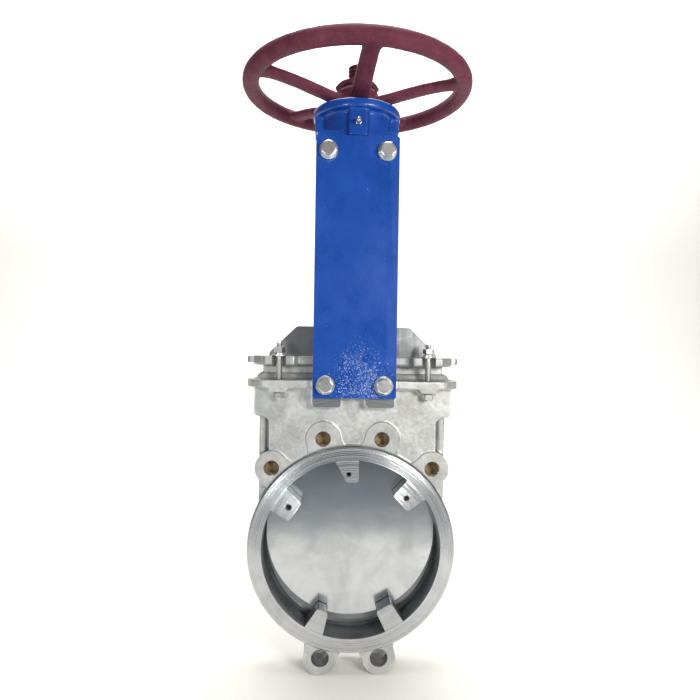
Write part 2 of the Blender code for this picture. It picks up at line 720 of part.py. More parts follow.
def make_bearings():
    steel_finish = steel("bearing steel")
    inner, outer = SLEEVE_R + GAP, HOUSING_R - GAP
    rings = (
        ("thrust_bearing_lower", HEAD_FLOOR_Z[1] + GAP, COLLAR_Z[0] - GAP),
        ("thrust_bearing_upper", COLLAR_Z[1] + GAP, CAP_Z[0] - GAP),
    )
    for name, low, high in rings:
        ring = turned("ring", [(inner, high), (outer, high), (outer, low), (inner, low)], 28)
        node(ring, name, steel_finish)


def make_bearing_cap():
    low, step, high = CAP_Z
    bore = SLEEVE_R + GAP
    cap = turned(
        "cap",
        [
            (bore, high),
            (CAP_FLANGE_R - 0.001, high),
            (CAP_FLANGE_R, high - 0.001),
            (CAP_FLANGE_R, step),
            (CAP_PLUG_R, step),
            (CAP_PLUG_R, low),
            (bore, low),
        ],
        40,
    )
    node(cap, "bearing_cap", steel("cap steel"))


# ---- handwheel and its drive ---------------------------------------------------


def spoke_height(radius):
    """Height of a spoke's middle line: level at the rim, dished towards the hub."""
    reach = (radius - HUB_R) / (WHEEL_R - HUB_R)
    return SPOKE_ROOT_Z + (RIM_Z - SPOKE_ROOT_Z) * math.sin(min(1, max(0, reach)) * math.pi / 2) ** 1.15


def make_spoke(azimuth):
    """Loft from the hub to the rim, convex below; azimuth is from -Y towards +X."""
    sections, around = 8, 8
    start, end = 0.021, WHEEL_R - 0.004
    bm = bmesh.new()
    rings = []
    for i in range(sections):
        share = i / (sections - 1)
        radius = start + (end - start) * share
        half = SPOKE_HALF_WIDTH[0] + (SPOKE_HALF_WIDTH[1] - SPOKE_HALF_WIDTH[0]) * share
        ring = []
        for j in range(around):
            angle = math.tau * j / around
            drop = SPOKE_BELOW if math.sin(angle) < 0 else SPOKE_ABOVE
            height = spoke_height(radius) + drop * math.sin(angle)
            ring.append(bm.verts.new((half * math.cos(angle), -radius, height)))
        rings.append(ring)
    for ring, following in zip(rings, rings[1:]):
        for j in range(around):
            k = (j + 1) % around
            bm.faces.new((ring[j], ring[k], following[k], following[j]))
    bm.faces.new(rings[0])
    bm.faces.new(rings[-1])
    bmesh.ops.transform(bm, matrix=Matrix.Rotation(azimuth, 4, "Z"), verts=bm.verts)
    return from_bmesh("spoke", bm)


def make_handwheel():
    wheel = turned("rim", hole((WHEEL_R, RIM_Z), RIM_R, RIM_SIDES), RIM_STEPS)
    hub = turned(
        "hub",
        [
            (0, HUB_Z[1]),
            (HUB_R - 0.002, HUB_Z[1]),
            (HUB_R, HUB_Z[1] - 0.002),
            (HUB_R, HUB_Z[0] + 0.002),
            (HUB_R - 0.002, HUB_Z[0]),
            (0, HUB_Z[0]),
        ],
        28,
    )
    for index in range(SPOKES):
        join(wheel, make_spoke(FIRST_SPOKE + math.tau * index / SPOKES))
    join(wheel, hub)
    key_way = KEY_HALF_W + GAP
    cut(
        wheel,
        rod("hub_bore", WHEEL_SEAT_R + GAP, (0, 0, 0.57), (0, 0, 0.62), 24),
        block("hub_key_way", (-key_way, 0.010, 0.57), (key_way, KEY_Y[1] + GAP, 0.62)),
    )
    node(wheel, "handwheel", maroon_paint("maroon paint"))


def make_stem_nut():
    bore = STEM_R + GAP
    nut = turned(
        "nut",
        [
            (bore, WHEEL_SEAT_Z),
            (WHEEL_SEAT_R - 0.001, WHEEL_SEAT_Z),
            (WHEEL_SEAT_R, WHEEL_SEAT_Z - 0.001),
            (WHEEL_SEAT_R, SLEEVE_Z[1]),
            (SLEEVE_R, SLEEVE_Z[1]),
            (SLEEVE_R, COLLAR_Z[1]),
            (COLLAR_R, COLLAR_Z[1]),
            (COLLAR_R, COLLAR_Z[0]),
            (SLEEVE_R, COLLAR_Z[0]),
            (SLEEVE_R, SLEEVE_Z[0]),
            (bore, SLEEVE_Z[0]),
        ],
        28,
    )
    key_way = KEY_HALF_W + GAP
    low = (-key_way, KEY_Y[0] - GAP, KEY_Z[0] - GAP)
    cut(nut, block("nut_key_way", low, (key_way, 0.025, KEY_Z[1] + 0.001)))
    node(nut, "stem_nut", material("bronze", (0.55, 0.36, 0.14), 0.35, 1.0))


def make_wheel_fasteners():
    key = block("key_blank", (-KEY_HALF_W, KEY_Y[0], KEY_Z[0]), (KEY_HALF_W, KEY_Y[1], KEY_Z[1]))
    node(key, "wheel_key", steel("key steel"))
    low, high = WHEEL_WASHER_Z
    inner, outer = WHEEL_SEAT_R + GAP, 0.0245
    washer = turned("washer", [(inner, high), (outer, high), (outer, low), (inner, low)], 28)
    node(washer, "wheel_washer", steel("wheel washer steel"))
    nut = hexagon("nut", WHEEL_NUT_FLATS, *WHEEL_NUT_Z, chamfer=0.0012)
    cut(nut, rod("nut_bore", WHEEL_SEAT_R + GAP, (0, 0, 0.59), (0, 0, 0.63), 24))
    node(nut, "wheel_nut", maroon_paint("nut maroon paint"))


# ---- stem and clevis -----------------------------------------------------------


def make_stem():
    low, high = STEM_Z
    stem = turned(
        "stem_bar",
        [
            (0, high),
            (STEM_R - 0.0015, high),
            (STEM_R, high - 0.0015),
            (STEM_R, low + 0.001),
            (STEM_R - 0.001, low),
            (0, low),
        ],
        24,
    )
    cross = STEM_R + 0.002
    cut(stem, rod("pin_hole", STEM_PIN_R + GAP, (-cross, 0, STEM_PIN_Z), (cross, 0, STEM_PIN_Z), 10))
    node(stem, "stem", material("stem steel", (0.66, 0.66, 0.64), 0.28, 1.0))


def make_clevis():
    low, high = CLEVIS_Z
    boss_x, boss_y = CLEVIS_BOSS
    slot_top = GATE_TOP_Z + GAP
    past = 0.001
    clevis = block("cheeks", (-CLEVIS_X, -CLEVIS_Y, low), (CLEVIS_X, CLEVIS_Y, slot_top + 0.006))
    join(clevis, block("clevis_boss", (-boss_x, -boss_y, slot_top - 0.004), (boss_x, boss_y, high)))
    slot_y = GATE_HALF_T + GAP
    cut(
        clevis,
        block("clevis_slot", (-CLEVIS_X - past, -slot_y, low - past), (CLEVIS_X + past, slot_y, slot_top)),
        rod("stem_socket", STEM_R + GAP, (0, 0, slot_top - past), (0, 0, high + past), 24),
        rod("pin_way", STEM_PIN_R + GAP, (-0.03, 0, STEM_PIN_Z), (0.03, 0, STEM_PIN_Z), 10),
    )
    for x in (-CLEVIS_BOLT_X, CLEVIS_BOLT_X):
        ends = [(x, y, CLEVIS_BOLT_Z) for y in (-0.02, 0.02)]
        cut(clevis, rod("bolt_way", CLEVIS_BOLT_R + GAP, *ends, 12))
    node(clevis, "gate_clevis", steel("clevis steel"))
    pin = rod("pin", STEM_PIN_R, (-boss_x, 0, STEM_PIN_Z), (boss_x, 0, STEM_PIN_Z), 10)
    node(pin, "stem_pin", steel("pin steel"))


def make_clevis_fasteners():
    length = 2 * CLEVIS_Y + 0.0105
    bolt = join(
        hexagon("head", 0.016, 0, 0.0064),
        rod("shank", CLEVIS_BOLT_R, (0, 0, -length), (0, 0, 0.002), 12),
    )
    nut = hexagon("nut", 0.016, 0, 0.0080)
    cut(nut, rod("nut_bore", CLEVIS_BOLT_R + GAP, (0, 0, -0.002), (0, 0, 0.012), 12))
    zinc = steel("zinc plated steel")
    bolt = node(bolt, "clevis_bolt_1", zinc)
    nut = node(nut, "clevis_nut_1", zinc)
    face = CLEVIS_Y + GAP
    for index, x in enumerate((-CLEVIS_BOLT_X, CLEVIS_BOLT_X), 1):
        for part, kind, front in ((bolt, "bolt", -1), (nut, "nut", 1)):
            turn = Matrix.Rotation(-front * math.pi / 2, 4, "X")
            matrix = Matrix.Translation((x, front * face, CLEVIS_BOLT_Z)) @ turn
            if index == 1:
                part.matrix_world = matrix
            else:
                copy_at(part, f"clevis_{kind}_{index}", matrix)


clear_scene()
VALVE = new_collection(OBJECT_NAME)
TOOLS = new_collection("cutters")
make_body()
make_seat_ring()
make_gate()
make_packing()
make_gland()
make_gland_fasteners()
make_yoke_plates()
make_yoke_fasteners()
make_yoke_head()
make_grease_nipple()
make_bearings()
make_bearing_cap()
make_handwheel()
make_stem_nut()
make_wheel_fasteners()
make_stem()
make_clevis()
make_clevis_fasteners()
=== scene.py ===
"""Knife gate valve, DN 200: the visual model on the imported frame.

Metres, +Z up, the upstream face looks along -Y. Castings are fused from overlapping solids, softened
and then machined: a cutter's faces carry the material slot of the surface that it leaves.
"""

import math
from itertools import product

import bmesh
import bpy
import numpy as np
from mathutils import Matrix, Vector


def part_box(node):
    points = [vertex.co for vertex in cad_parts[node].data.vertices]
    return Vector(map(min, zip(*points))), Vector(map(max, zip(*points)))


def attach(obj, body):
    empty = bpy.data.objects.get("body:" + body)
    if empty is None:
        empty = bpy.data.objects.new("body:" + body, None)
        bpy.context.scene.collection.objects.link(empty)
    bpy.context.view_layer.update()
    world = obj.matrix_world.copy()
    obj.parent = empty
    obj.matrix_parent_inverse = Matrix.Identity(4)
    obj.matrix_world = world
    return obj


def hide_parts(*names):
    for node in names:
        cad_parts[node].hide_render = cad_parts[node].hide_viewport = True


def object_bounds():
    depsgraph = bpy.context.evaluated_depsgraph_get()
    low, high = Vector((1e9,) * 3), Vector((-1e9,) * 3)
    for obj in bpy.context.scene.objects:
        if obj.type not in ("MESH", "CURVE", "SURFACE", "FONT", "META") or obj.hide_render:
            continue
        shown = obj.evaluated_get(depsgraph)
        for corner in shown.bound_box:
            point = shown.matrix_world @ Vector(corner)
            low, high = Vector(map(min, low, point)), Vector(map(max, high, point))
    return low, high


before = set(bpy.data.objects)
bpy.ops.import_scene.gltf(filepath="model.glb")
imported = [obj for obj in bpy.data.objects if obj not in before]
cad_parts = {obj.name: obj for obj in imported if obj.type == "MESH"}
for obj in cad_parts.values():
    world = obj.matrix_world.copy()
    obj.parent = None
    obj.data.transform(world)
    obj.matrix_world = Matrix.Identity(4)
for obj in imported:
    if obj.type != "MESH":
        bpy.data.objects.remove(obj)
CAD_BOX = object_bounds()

GAP = 0.0003
PAST = 0.001

# Slots of a casting. The slots of the pocket walls and of the pad faces take darker finishes: painted shade.
CAST, MACHINED, THREAD, WALL, SHADED_PAD = range(5)
# Creases in degrees. The first two are below the steps of a nut's chamfer and of a plate's rounded
# edge, so that the flat faces beside them stay flat.
FLAT_CREASE, PLATE_CREASE, ROUND_CREASE = 20, 14, 32

# Flanged ring, pocket and seat
FACE_Y = 0.030
STOCK = 0.0015
RING_R, RING_CHAMFER = 0.1343, 0.0012
POCKET_R, POCKET_BACK_Y = 0.1155, 0.0048
SEAT_BORE_R, SEAT_BACK_Y = 0.1103, 0.0120
BORE_R = 0.100
RAW_BORE_R = 0.084
FINE = 220
TAB_TIP_R, TAB_BACK_Y, TAB_HOLE_FLOOR_Y = 0.087, -0.006, -0.014
# Degrees from +Z towards +X, left X at root and tip, right X at root and tip, hole radius, hole at
TABS = (
    (0.5, (-0.0265, -0.0096), (0.0076, 0.0076), 0.0032, (-0.0052, 0.0974)),
    (-55.5, (-0.0171, -0.0158), (0.0182, 0.0134), 0.0040, (-0.0012, 0.0980)),
    (47.5, (-0.0184, -0.0156), (0.0167, 0.0125), 0.0034, (-0.0013, 0.0974)),
    (150, (-0.0135, -0.0115), (0.0135, 0.0115), 0, (0, 0)),
    (-156, (-0.0138, -0.0080), (0.0138, 0.0080), 0, (0, 0)),
)

# Lugs
BOLT_CIRCLE_R = 0.1475
LUG_R, LUG_FLARE, LUG_REACH = 0.0218, math.radians(15), 0.026
LUG_FACE_Y = 0.0265
TAPPED_ANGLES = (-45, -15, 15, 45)
CLEAR_ANGLES = (165, 195)
TAPPED_R, THREAD_R, THREAD_PITCH, TAPPED_DEPTH = 0.0086, 0.0092, 0.0025, 0.019
CLEAR_R, CLEAR_LUG_INNER_Y = 0.0114, 0.0075

# Chest, top flange and stuffing box
CHEST_Y, CHEST_Z = 0.025, (0.022, 0.200)
PANEL_X, PANEL_FOOT_Z, GROOVE_W = 0.1085, 0.030, 0.0045
SIDE_X, SIDE_Y = 0.122, 0.014
SHOULDER_X, SHOULDER_Z, SHOULDER_TOP_Z = 0.128, 0.171, 0.212
FLANGE_Z = (0.2085, 0.2190)
FLANGE_X, FLANGE_Y, FLANGE_STRAIGHT_X = 0.1393, 0.042, 0.107
NECK_FOOT, NECK_TOP, NECK_TOP_Z = (0.1310, 0.0210), (0.1215, 0.0150), 0.2275
BOX_X, BOX_Y, BOX_FLOOR_Z = 0.119, 0.0125, 0.180
SLOT_X, SLOT_Y = 0.112, 0.0055
STUD_X, STUD_Y, STUD_R = 0.0955, 0.034, 0.004
STUD_BOSS_HALF_X, STUD_BOSS_Z, STUD_BOSS_Y = (0.0096, 0.0130), 0.2030, (0.0240, 0.0417)
PAD_X, PAD_Z, PAD_Y, PAD_ROOT_Y = (0.017, 0.0515), (0.185, 0.229), 0.043, 0.0205
YOKE_BOLT_X, YOKE_BOLT_Z, YOKE_BOLT_R = 0.0366, (0.2139, 0.5067), 0.006
YOKE_FLATS, YOKE_HEAD_H, YOKE_COLLAR_R, YOKE_WASHER_R, YOKE_WASHER_T = 0.018, 0.0075, 0.0082, 0.0120, 0.0025
YOKE_HOLE_DEPTH = 0.018

# Gate
GATE_X, GATE_HALF_T, GATE_ARC_Z, GATE_TOP_Z = 0.111, 0.0045, 0.007, 0.2884
GATE_CHAMFER = (0.036, 0.035)
DULL_Z = (0.170, 0.200)
GATE_BEVEL, GATE_BEVEL_DEPTH = 0.0094, 0.0062
CLEVIS_BOLT_X, CLEVIS_BOLT_Z, CLEVIS_BOLT_R, CLEVIS_FLATS, CLEVIS_HEAD_H = 0.0140, 0.272, 0.005, 0.016, 0.0064

# Gland
GLAND_Z, GLAND_Y = (0.2370, 0.2490), 0.026
TONGUE_X, TONGUE_Y, TONGUE_Z = 0.1391, 0.013, (0.240, 0.248)
STUD_LUG_HALF_X, STUD_LUG_Y, STUD_SLOT_HALF_X = 0.0205, 0.041, 0.0088
PACKING_TOP_Z = 0.204

# Yoke head
YOKE_X = 0.05235
LEG_Y, LEG_Z = (0.030, 0.043), (0.492, 0.531)
HEAD_FLOOR_Z = (0.520, 0.534)
DRUM_R, DRUM_FOOT_Z = 0.047, 0.528
DISC_R, DISC_Z = 0.0577, (0.560, 0.572)
HEAD_BORE_R, HOUSING_R = 0.0205, 0.031
CHEEK_X, CHEEK_Y, CHEEK_Z = (0.043, 0.055), 0.018, (0.541, 0.561)
RIB_HALF_X, RIB_Y, RIB_Z = 0.0125, 0.052, (0.5265, 0.561)
NIPPLE_R, NIPPLE_FLATS, NIPPLE_Z = 0.003, 0.007, 0.542

# Handwheel
HUB_R, HUB_Z = 0.029, (0.5800, 0.5980)
WHEEL_R, RIM_R, RIM_Z = 0.1400, 0.0110, 0.6045
SPOKES, FIRST_SPOKE = 5, math.radians(5)
SPOKE_HALF_WIDTH, SPOKE_FLARE = (0.0125, 0.0105), 0.006
SPOKE_ROOT_Z, SPOKE_ABOVE, SPOKE_BELOW = 0.5875, 0.0042, 0.0070
KEY_HALF_W, KEY_Y = 0.0037, (0.0146, 0.0217)
WHEEL_SEAT_R, SLEEVE_R = 0.018, 0.0197

# Stem and clevis
STEM_R, STEM_PLAIN_TOP_Z = 0.012, 0.306
STEM_PITCH, STEM_THREAD_DEPTH = 0.005, 0.00275
STEM_PIN_R, STEM_PIN_Z = 0.003, 0.2975
CLEVIS_X, CLEVIS_Y = 0.025, 0.012
CLEVIS_BOSS = (0.018, 0.016)

# Where the pale floor turns grey
SHEET_END_Y = (-0.52, -0.60)


# ---- outlines ----


def arc(centre, radius, start, end, steps):
    """Points on an arc; the angles are in radians, from the first axis towards the second."""
    angles = [start + (end - start) * i / steps for i in range(steps + 1)]
    return [(centre[0] + radius * math.cos(a), centre[1] + radius * math.sin(a)) for a in angles]


def circle(centre, radius, steps=48):
    return arc(centre, radius, 0, math.tau * (1 - 1 / steps), steps - 1)


def mirrored(points):
    """Close an outline whose right half runs from bottom to top."""
    return points + [(-x, y) for x, y in reversed(points)]


def rounded_box(half_x, half_y, radius, steps=6, centre=(0, 0)):
    x, y = half_x - radius, half_y - radius
    points = []
    for cx, cy, quarter in ((x, y, 0), (-x, y, 1), (-x, -y, 2), (x, -y, 3)):
        start = quarter * math.pi / 2
        points += arc((cx + centre[0], cy + centre[1]), radius, start, start + math.pi / 2, steps)
    return points


def lug_outline(angle_deg):
    """Round lug on the bolt circle whose flanks spread towards the ring; angle from +Z towards +X."""
    angle = math.radians(90 - angle_deg)
    centre = (BOLT_CIRCLE_R * math.cos(angle), BOLT_CIRCLE_R * math.sin(angle))
    side = math.pi / 2 + LUG_FLARE
    points = arc(centre, LUG_R, angle - side, angle + side, 36)
    inward = LUG_REACH / math.cos(LUG_FLARE)
    for (x, y), lean in ((points[-1], LUG_FLARE), (points[0], -LUG_FLARE)):
        direction = angle + math.pi - lean
        points.append((x + inward * math.cos(direction), y + inward * math.sin(direction)))
    return points


def on_bolt_circle(angle_deg, y=0.0):
    angle = math.radians(angle_deg)
    return Vector((BOLT_CIRCLE_R * math.sin(angle), y, BOLT_CIRCLE_R * math.cos(angle)))


# ---- solids ----


def show(name, mesh):
    obj = bpy.data.objects.new(name, mesh)
    bpy.context.scene.collection.objects.link(obj)
    return obj


def solid(name, bm, slot=CAST):
    mesh = bpy.data.meshes.new(name)
    bmesh.ops.recalc_face_normals(bm, faces=bm.faces)
    for face in bm.faces:
        face.material_index = slot
    bm.to_mesh(mesh)
    bm.free()
    return show(name, mesh)


def block(low, high, slot=CAST, top_scale=None):
    """Box between two corners. top_scale shrinks its upper face in X and Y."""
    low, high = Vector(low), Vector(high)
    bm = bmesh.new()
    bmesh.ops.create_cube(bm, size=1)
    for vert in bm.verts:
        if top_scale and vert.co.z > 0:
            vert.co.x *= top_scale[0]
            vert.co.y *= top_scale[1]
        share = vert.co + Vector((0.5, 0.5, 0.5))
        vert.co = Vector(a + (b - a) * s for a, b, s in zip(low, high, share))
    return solid("block", bm, slot)


def side_block(front, half_x, near, far, span_z, slot=CAST, x=0):
    """Box in front (-1) or behind (1), between two distances from the middle plane."""
    low_y, high_y = sorted((front * near, front * far))
    return block((x - half_x, low_y, span_z[0]), (x + half_x, high_y, span_z[1]), slot)


def lathe(profile, steps=96, slot=CAST):
    """Solid of revolution about Z from (radius, height) points; it ends on the axis or closes on itself."""
    bm = bmesh.new()
    rows = []
    for radius, height in profile:
        count = steps if radius > 0 else 1
        turns = [math.tau * i / steps for i in range(count)]
        rows.append([bm.verts.new((radius * math.cos(t), radius * math.sin(t), height)) for t in turns])
    pairs = list(zip(rows, rows[1:]))
    if profile[0][0] > 0 and profile[-1][0] > 0:
        pairs.append((rows[-1], rows[0]))
    for upper, lower in pairs:
        for i in range(steps):
            k = (i + 1) % steps
            corners = [row[j % len(row)] for row, j in ((upper, i), (upper, k), (lower, k), (lower, i))]
            corners = list(dict.fromkeys(corners))
            if len(corners) > 2:
                bm.faces.new(corners)
    return solid("turned", bm, slot)


def moved(obj, matrix):
    obj.data.transform(matrix)
    return obj


def along_y(obj, centre=(0, 0, 0), forward=False):
    """Lay a shape made along Z down along +Y, or along -Y when forward."""
    turn = math.pi / 2 if forward else -math.pi / 2
    return moved(obj, Matrix.Translation(centre) @ Matrix.Rotation(turn, 4, "X"))


def drill(radius, start, end, slot=MACHINED, steps=40, chamfer=0.0):
    """Round cutter from start to end; chamfer opens the hole's mouth, which lies PAST after start."""
    start, end = Vector(start), Vector(end)
    length = (end - start).length
    profile = [(0, length), (radius, length)]
    if chamfer:
        profile += [(radius, PAST + chamfer), (radius + chamfer, PAST), (radius + chamfer, 0)]
    else:
        profile += [(radius, 0)]
    aim = (end - start).to_track_quat("Z", "Y").to_matrix().to_4x4()
    return moved(lathe(profile + [(0, 0)], steps, slot), Matrix.Translation(start) @ aim)


def drill_across(radius, x, z, reach, *shape):
    """Hole along Y through what lies within reach of the middle plane."""
    return drill(radius, (x, -reach, z), (x, reach, z), *shape)


def slab(loops, low, high, upright=False, slot=CAST, edge=0.0, edge_steps=2):
    """Flat outline with holes, from low to high along Z, or along Y when upright (outline in X, Z)."""
    curve = bpy.data.curves.new("outline", "CURVE")
    curve.dimensions = "2D"
    curve.fill_mode = "BOTH"
    curve.extrude = (high - low) / 2
    for points in loops:
        spline = curve.splines.new("POLY")
        spline.points.add(len(points) - 1)
        for point, (x, y) in zip(spline.points, points):
            point.co = (x, y, 0, 1)
        spline.use_cyclic_u = True
    guide = show("outline", curve)
    bpy.context.view_layer.update()
    mesh = bpy.data.meshes.new_from_object(guide.evaluated_get(bpy.context.evaluated_depsgraph_get()))
    bpy.data.objects.remove(guide)
    bm = bmesh.new()
    bm.from_mesh(mesh)
    bpy.data.meshes.remove(mesh)
    bmesh.ops.remove_doubles(bm, verts=bm.verts, dist=1e-6)
    middle = (low + high) / 2
    place = Matrix.Translation((0, middle, 0) if upright else (0, 0, middle))
    if upright:
        place = place @ Matrix.Rotation(math.pi / 2, 4, "X")
    bmesh.ops.transform(bm, matrix=place, verts=bm.verts)
    obj = solid("slab", bm, slot)
    if edge:
        bevel = obj.modifiers.new("Edge", "BEVEL")
        bevel.width = edge
        bevel.segments = edge_steps
        bevel.limit_method = "ANGLE"
        bevel.angle_limit = math.radians(50)
        bake(obj)
    return obj


def grid(rows, slot=CAST):
    """Closed tube through rings of points, with flat ends."""
    bm = bmesh.new()
    rings = [[bm.verts.new(point) for point in row] for row in rows]
    for ring, following in zip(rings, rings[1:]):
        for j in range(len(ring)):
            k = (j + 1) % len(ring)
            bm.faces.new((ring[j], ring[k], following[k], following[j]))
    bm.faces.new(rings[0])
    bm.faces.new(rings[-1])
    return solid("tube", bm, slot)


def threaded(
    radius, depth, pitch, low, high, hand=1, steps=24, per_turn=6, ends=0.0008, square=False, slot=CAST
):
    """Threaded bar along Z with chamfered ends; hand is 1 for right-hand and -1 for left-hand."""
    count = max(8, round((high - low) / pitch * per_turn))
    z = np.linspace(low, high, count + 1)[:, None]
    theta = np.linspace(0, math.tau, steps, endpoint=False)[None, :]
    phase = (z / pitch - hand * theta / math.tau) % 1.0
    crest = np.abs(2 * phase - 1)
    crest = np.clip((crest - 0.5) * 2.6 + 0.5, 0, 1) if square else np.clip(crest * 1.25 - 0.1, 0, 1)
    reach = np.minimum(z - low, high - z) + radius - ends
    r = np.minimum(radius - depth * (1 - crest), reach)
    x, y = r * np.cos(theta), r * np.sin(theta)
    full_z = np.broadcast_to(z, x.shape)
    rows = [list(zip(x[i], y[i], full_z[i])) for i in range(count + 1)]
    return grid(rows, slot)


def hexagon(flats, low, high, chamfer=0.0006, below=True, slot=CAST):
    """Hexagonal blank along Z, flats facing Y, with its corners turned off."""
    corner = flats / math.sqrt(3)
    corners = [(corner * math.cos(a), corner * math.sin(a)) for a in [math.tau * i / 6 for i in range(6)]]
    blank = grid([[(x, y, z) for x, y in corners] for z in (low, high)], slot)
    slope = (corner - flats / 2 + chamfer) * math.tan(math.radians(30))
    wide = corner + GAP
    profile = [(0, high), (flats / 2 - chamfer, high), (wide, high - slope)]
    if below:
        profile += [(wide, low + slope), (flats / 2 - chamfer, low), (0, low)]
    else:
        profile += [(wide, low - PAST), (0, low - PAST)]
    return worked(blank, [lathe(profile, 72, slot)], "INTERSECT", "EXACT")


# ---- working a solid ----


def bake(obj):
    """Replace an object's mesh by what its modifiers make of it."""
    bpy.context.view_layer.update()
    mesh = bpy.data.meshes.new_from_object(obj.evaluated_get(bpy.context.evaluated_depsgraph_get()))
    old = obj.data
    obj.modifiers.clear()
    obj.data = mesh
    bpy.data.meshes.remove(old)
    return obj


def worked(target, tools, operation="DIFFERENCE", solver="MANIFOLD"):
    for tool in tools:
        modifier = target.modifiers.new("Work", "BOOLEAN")
        modifier.operation = operation
        modifier.solver = solver
        modifier.material_mode = "INDEX"
        modifier.object = tool
    with_slots(target, tools)
    bake(target)
    for tool in tools:
        bpy.data.objects.remove(tool)
    return target


def with_slots(target, tools):
    """Empty slots on both sides keep the faces' slot numbers through a Boolean."""
    for obj in (target, *tools):
        while len(obj.data.materials) <= SHADED_PAD:
            obj.data.materials.append(None)


def fused(solids, voxel, rounds, keep, unevenness=0.0, wave=0.012):
    """One casting from overlapping solids: soft edges, and a surface that is slightly uneven."""
    bm = bmesh.new()
    for part in solids:
        bm.from_mesh(part.data)
        bpy.data.objects.remove(part)
    obj = solid("casting", bm)
    remesh = obj.modifiers.new("Fuse", "REMESH")
    remesh.mode = "VOXEL"
    remesh.voxel_size = voxel
    smooth = obj.modifiers.new("Soften", "SMOOTH")
    smooth.factor = 0.5
    smooth.iterations = rounds
    if unevenness:
        clouds = bpy.data.textures.new("clouds", "CLOUDS")
        clouds.noise_scale = wave
        clouds.noise_depth = 2
        displace = obj.modifiers.new("Uneven", "DISPLACE")
        displace.texture = clouds
        displace.texture_coords = "LOCAL"
        displace.strength = unevenness
        displace.mid_level = 0.7
    thin = obj.modifiers.new("Thin", "DECIMATE")
    thin.ratio = keep
    return bake(obj)


def piece(obj, name, body, nodes, finishes, crease=ROUND_CREASE):
    """Make a shape a visible piece that stands for CAD nodes and moves with their body."""
    obj.name = obj.data.name = name
    slots = obj.data.materials
    while len(slots) < len(finishes):
        slots.append(None)
    for index, finish in enumerate(finishes):
        slots[index] = finish
    for face in obj.data.polygons:
        face.material_index = min(face.material_index, len(finishes) - 1)
    while len(slots) > len(finishes):
        slots.pop()
    obj.data.shade_smooth()
    obj.data.set_sharp_from_angle(angle=math.radians(crease))
    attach(obj, body)
    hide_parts(*nodes)
    return obj


def stamp(source, matrix):
    """A copy of a shape in another place, with the place in its mesh."""
    mesh = source.data.copy()
    mesh.transform(matrix)
    return show(source.name, mesh)


# ---- materials ----


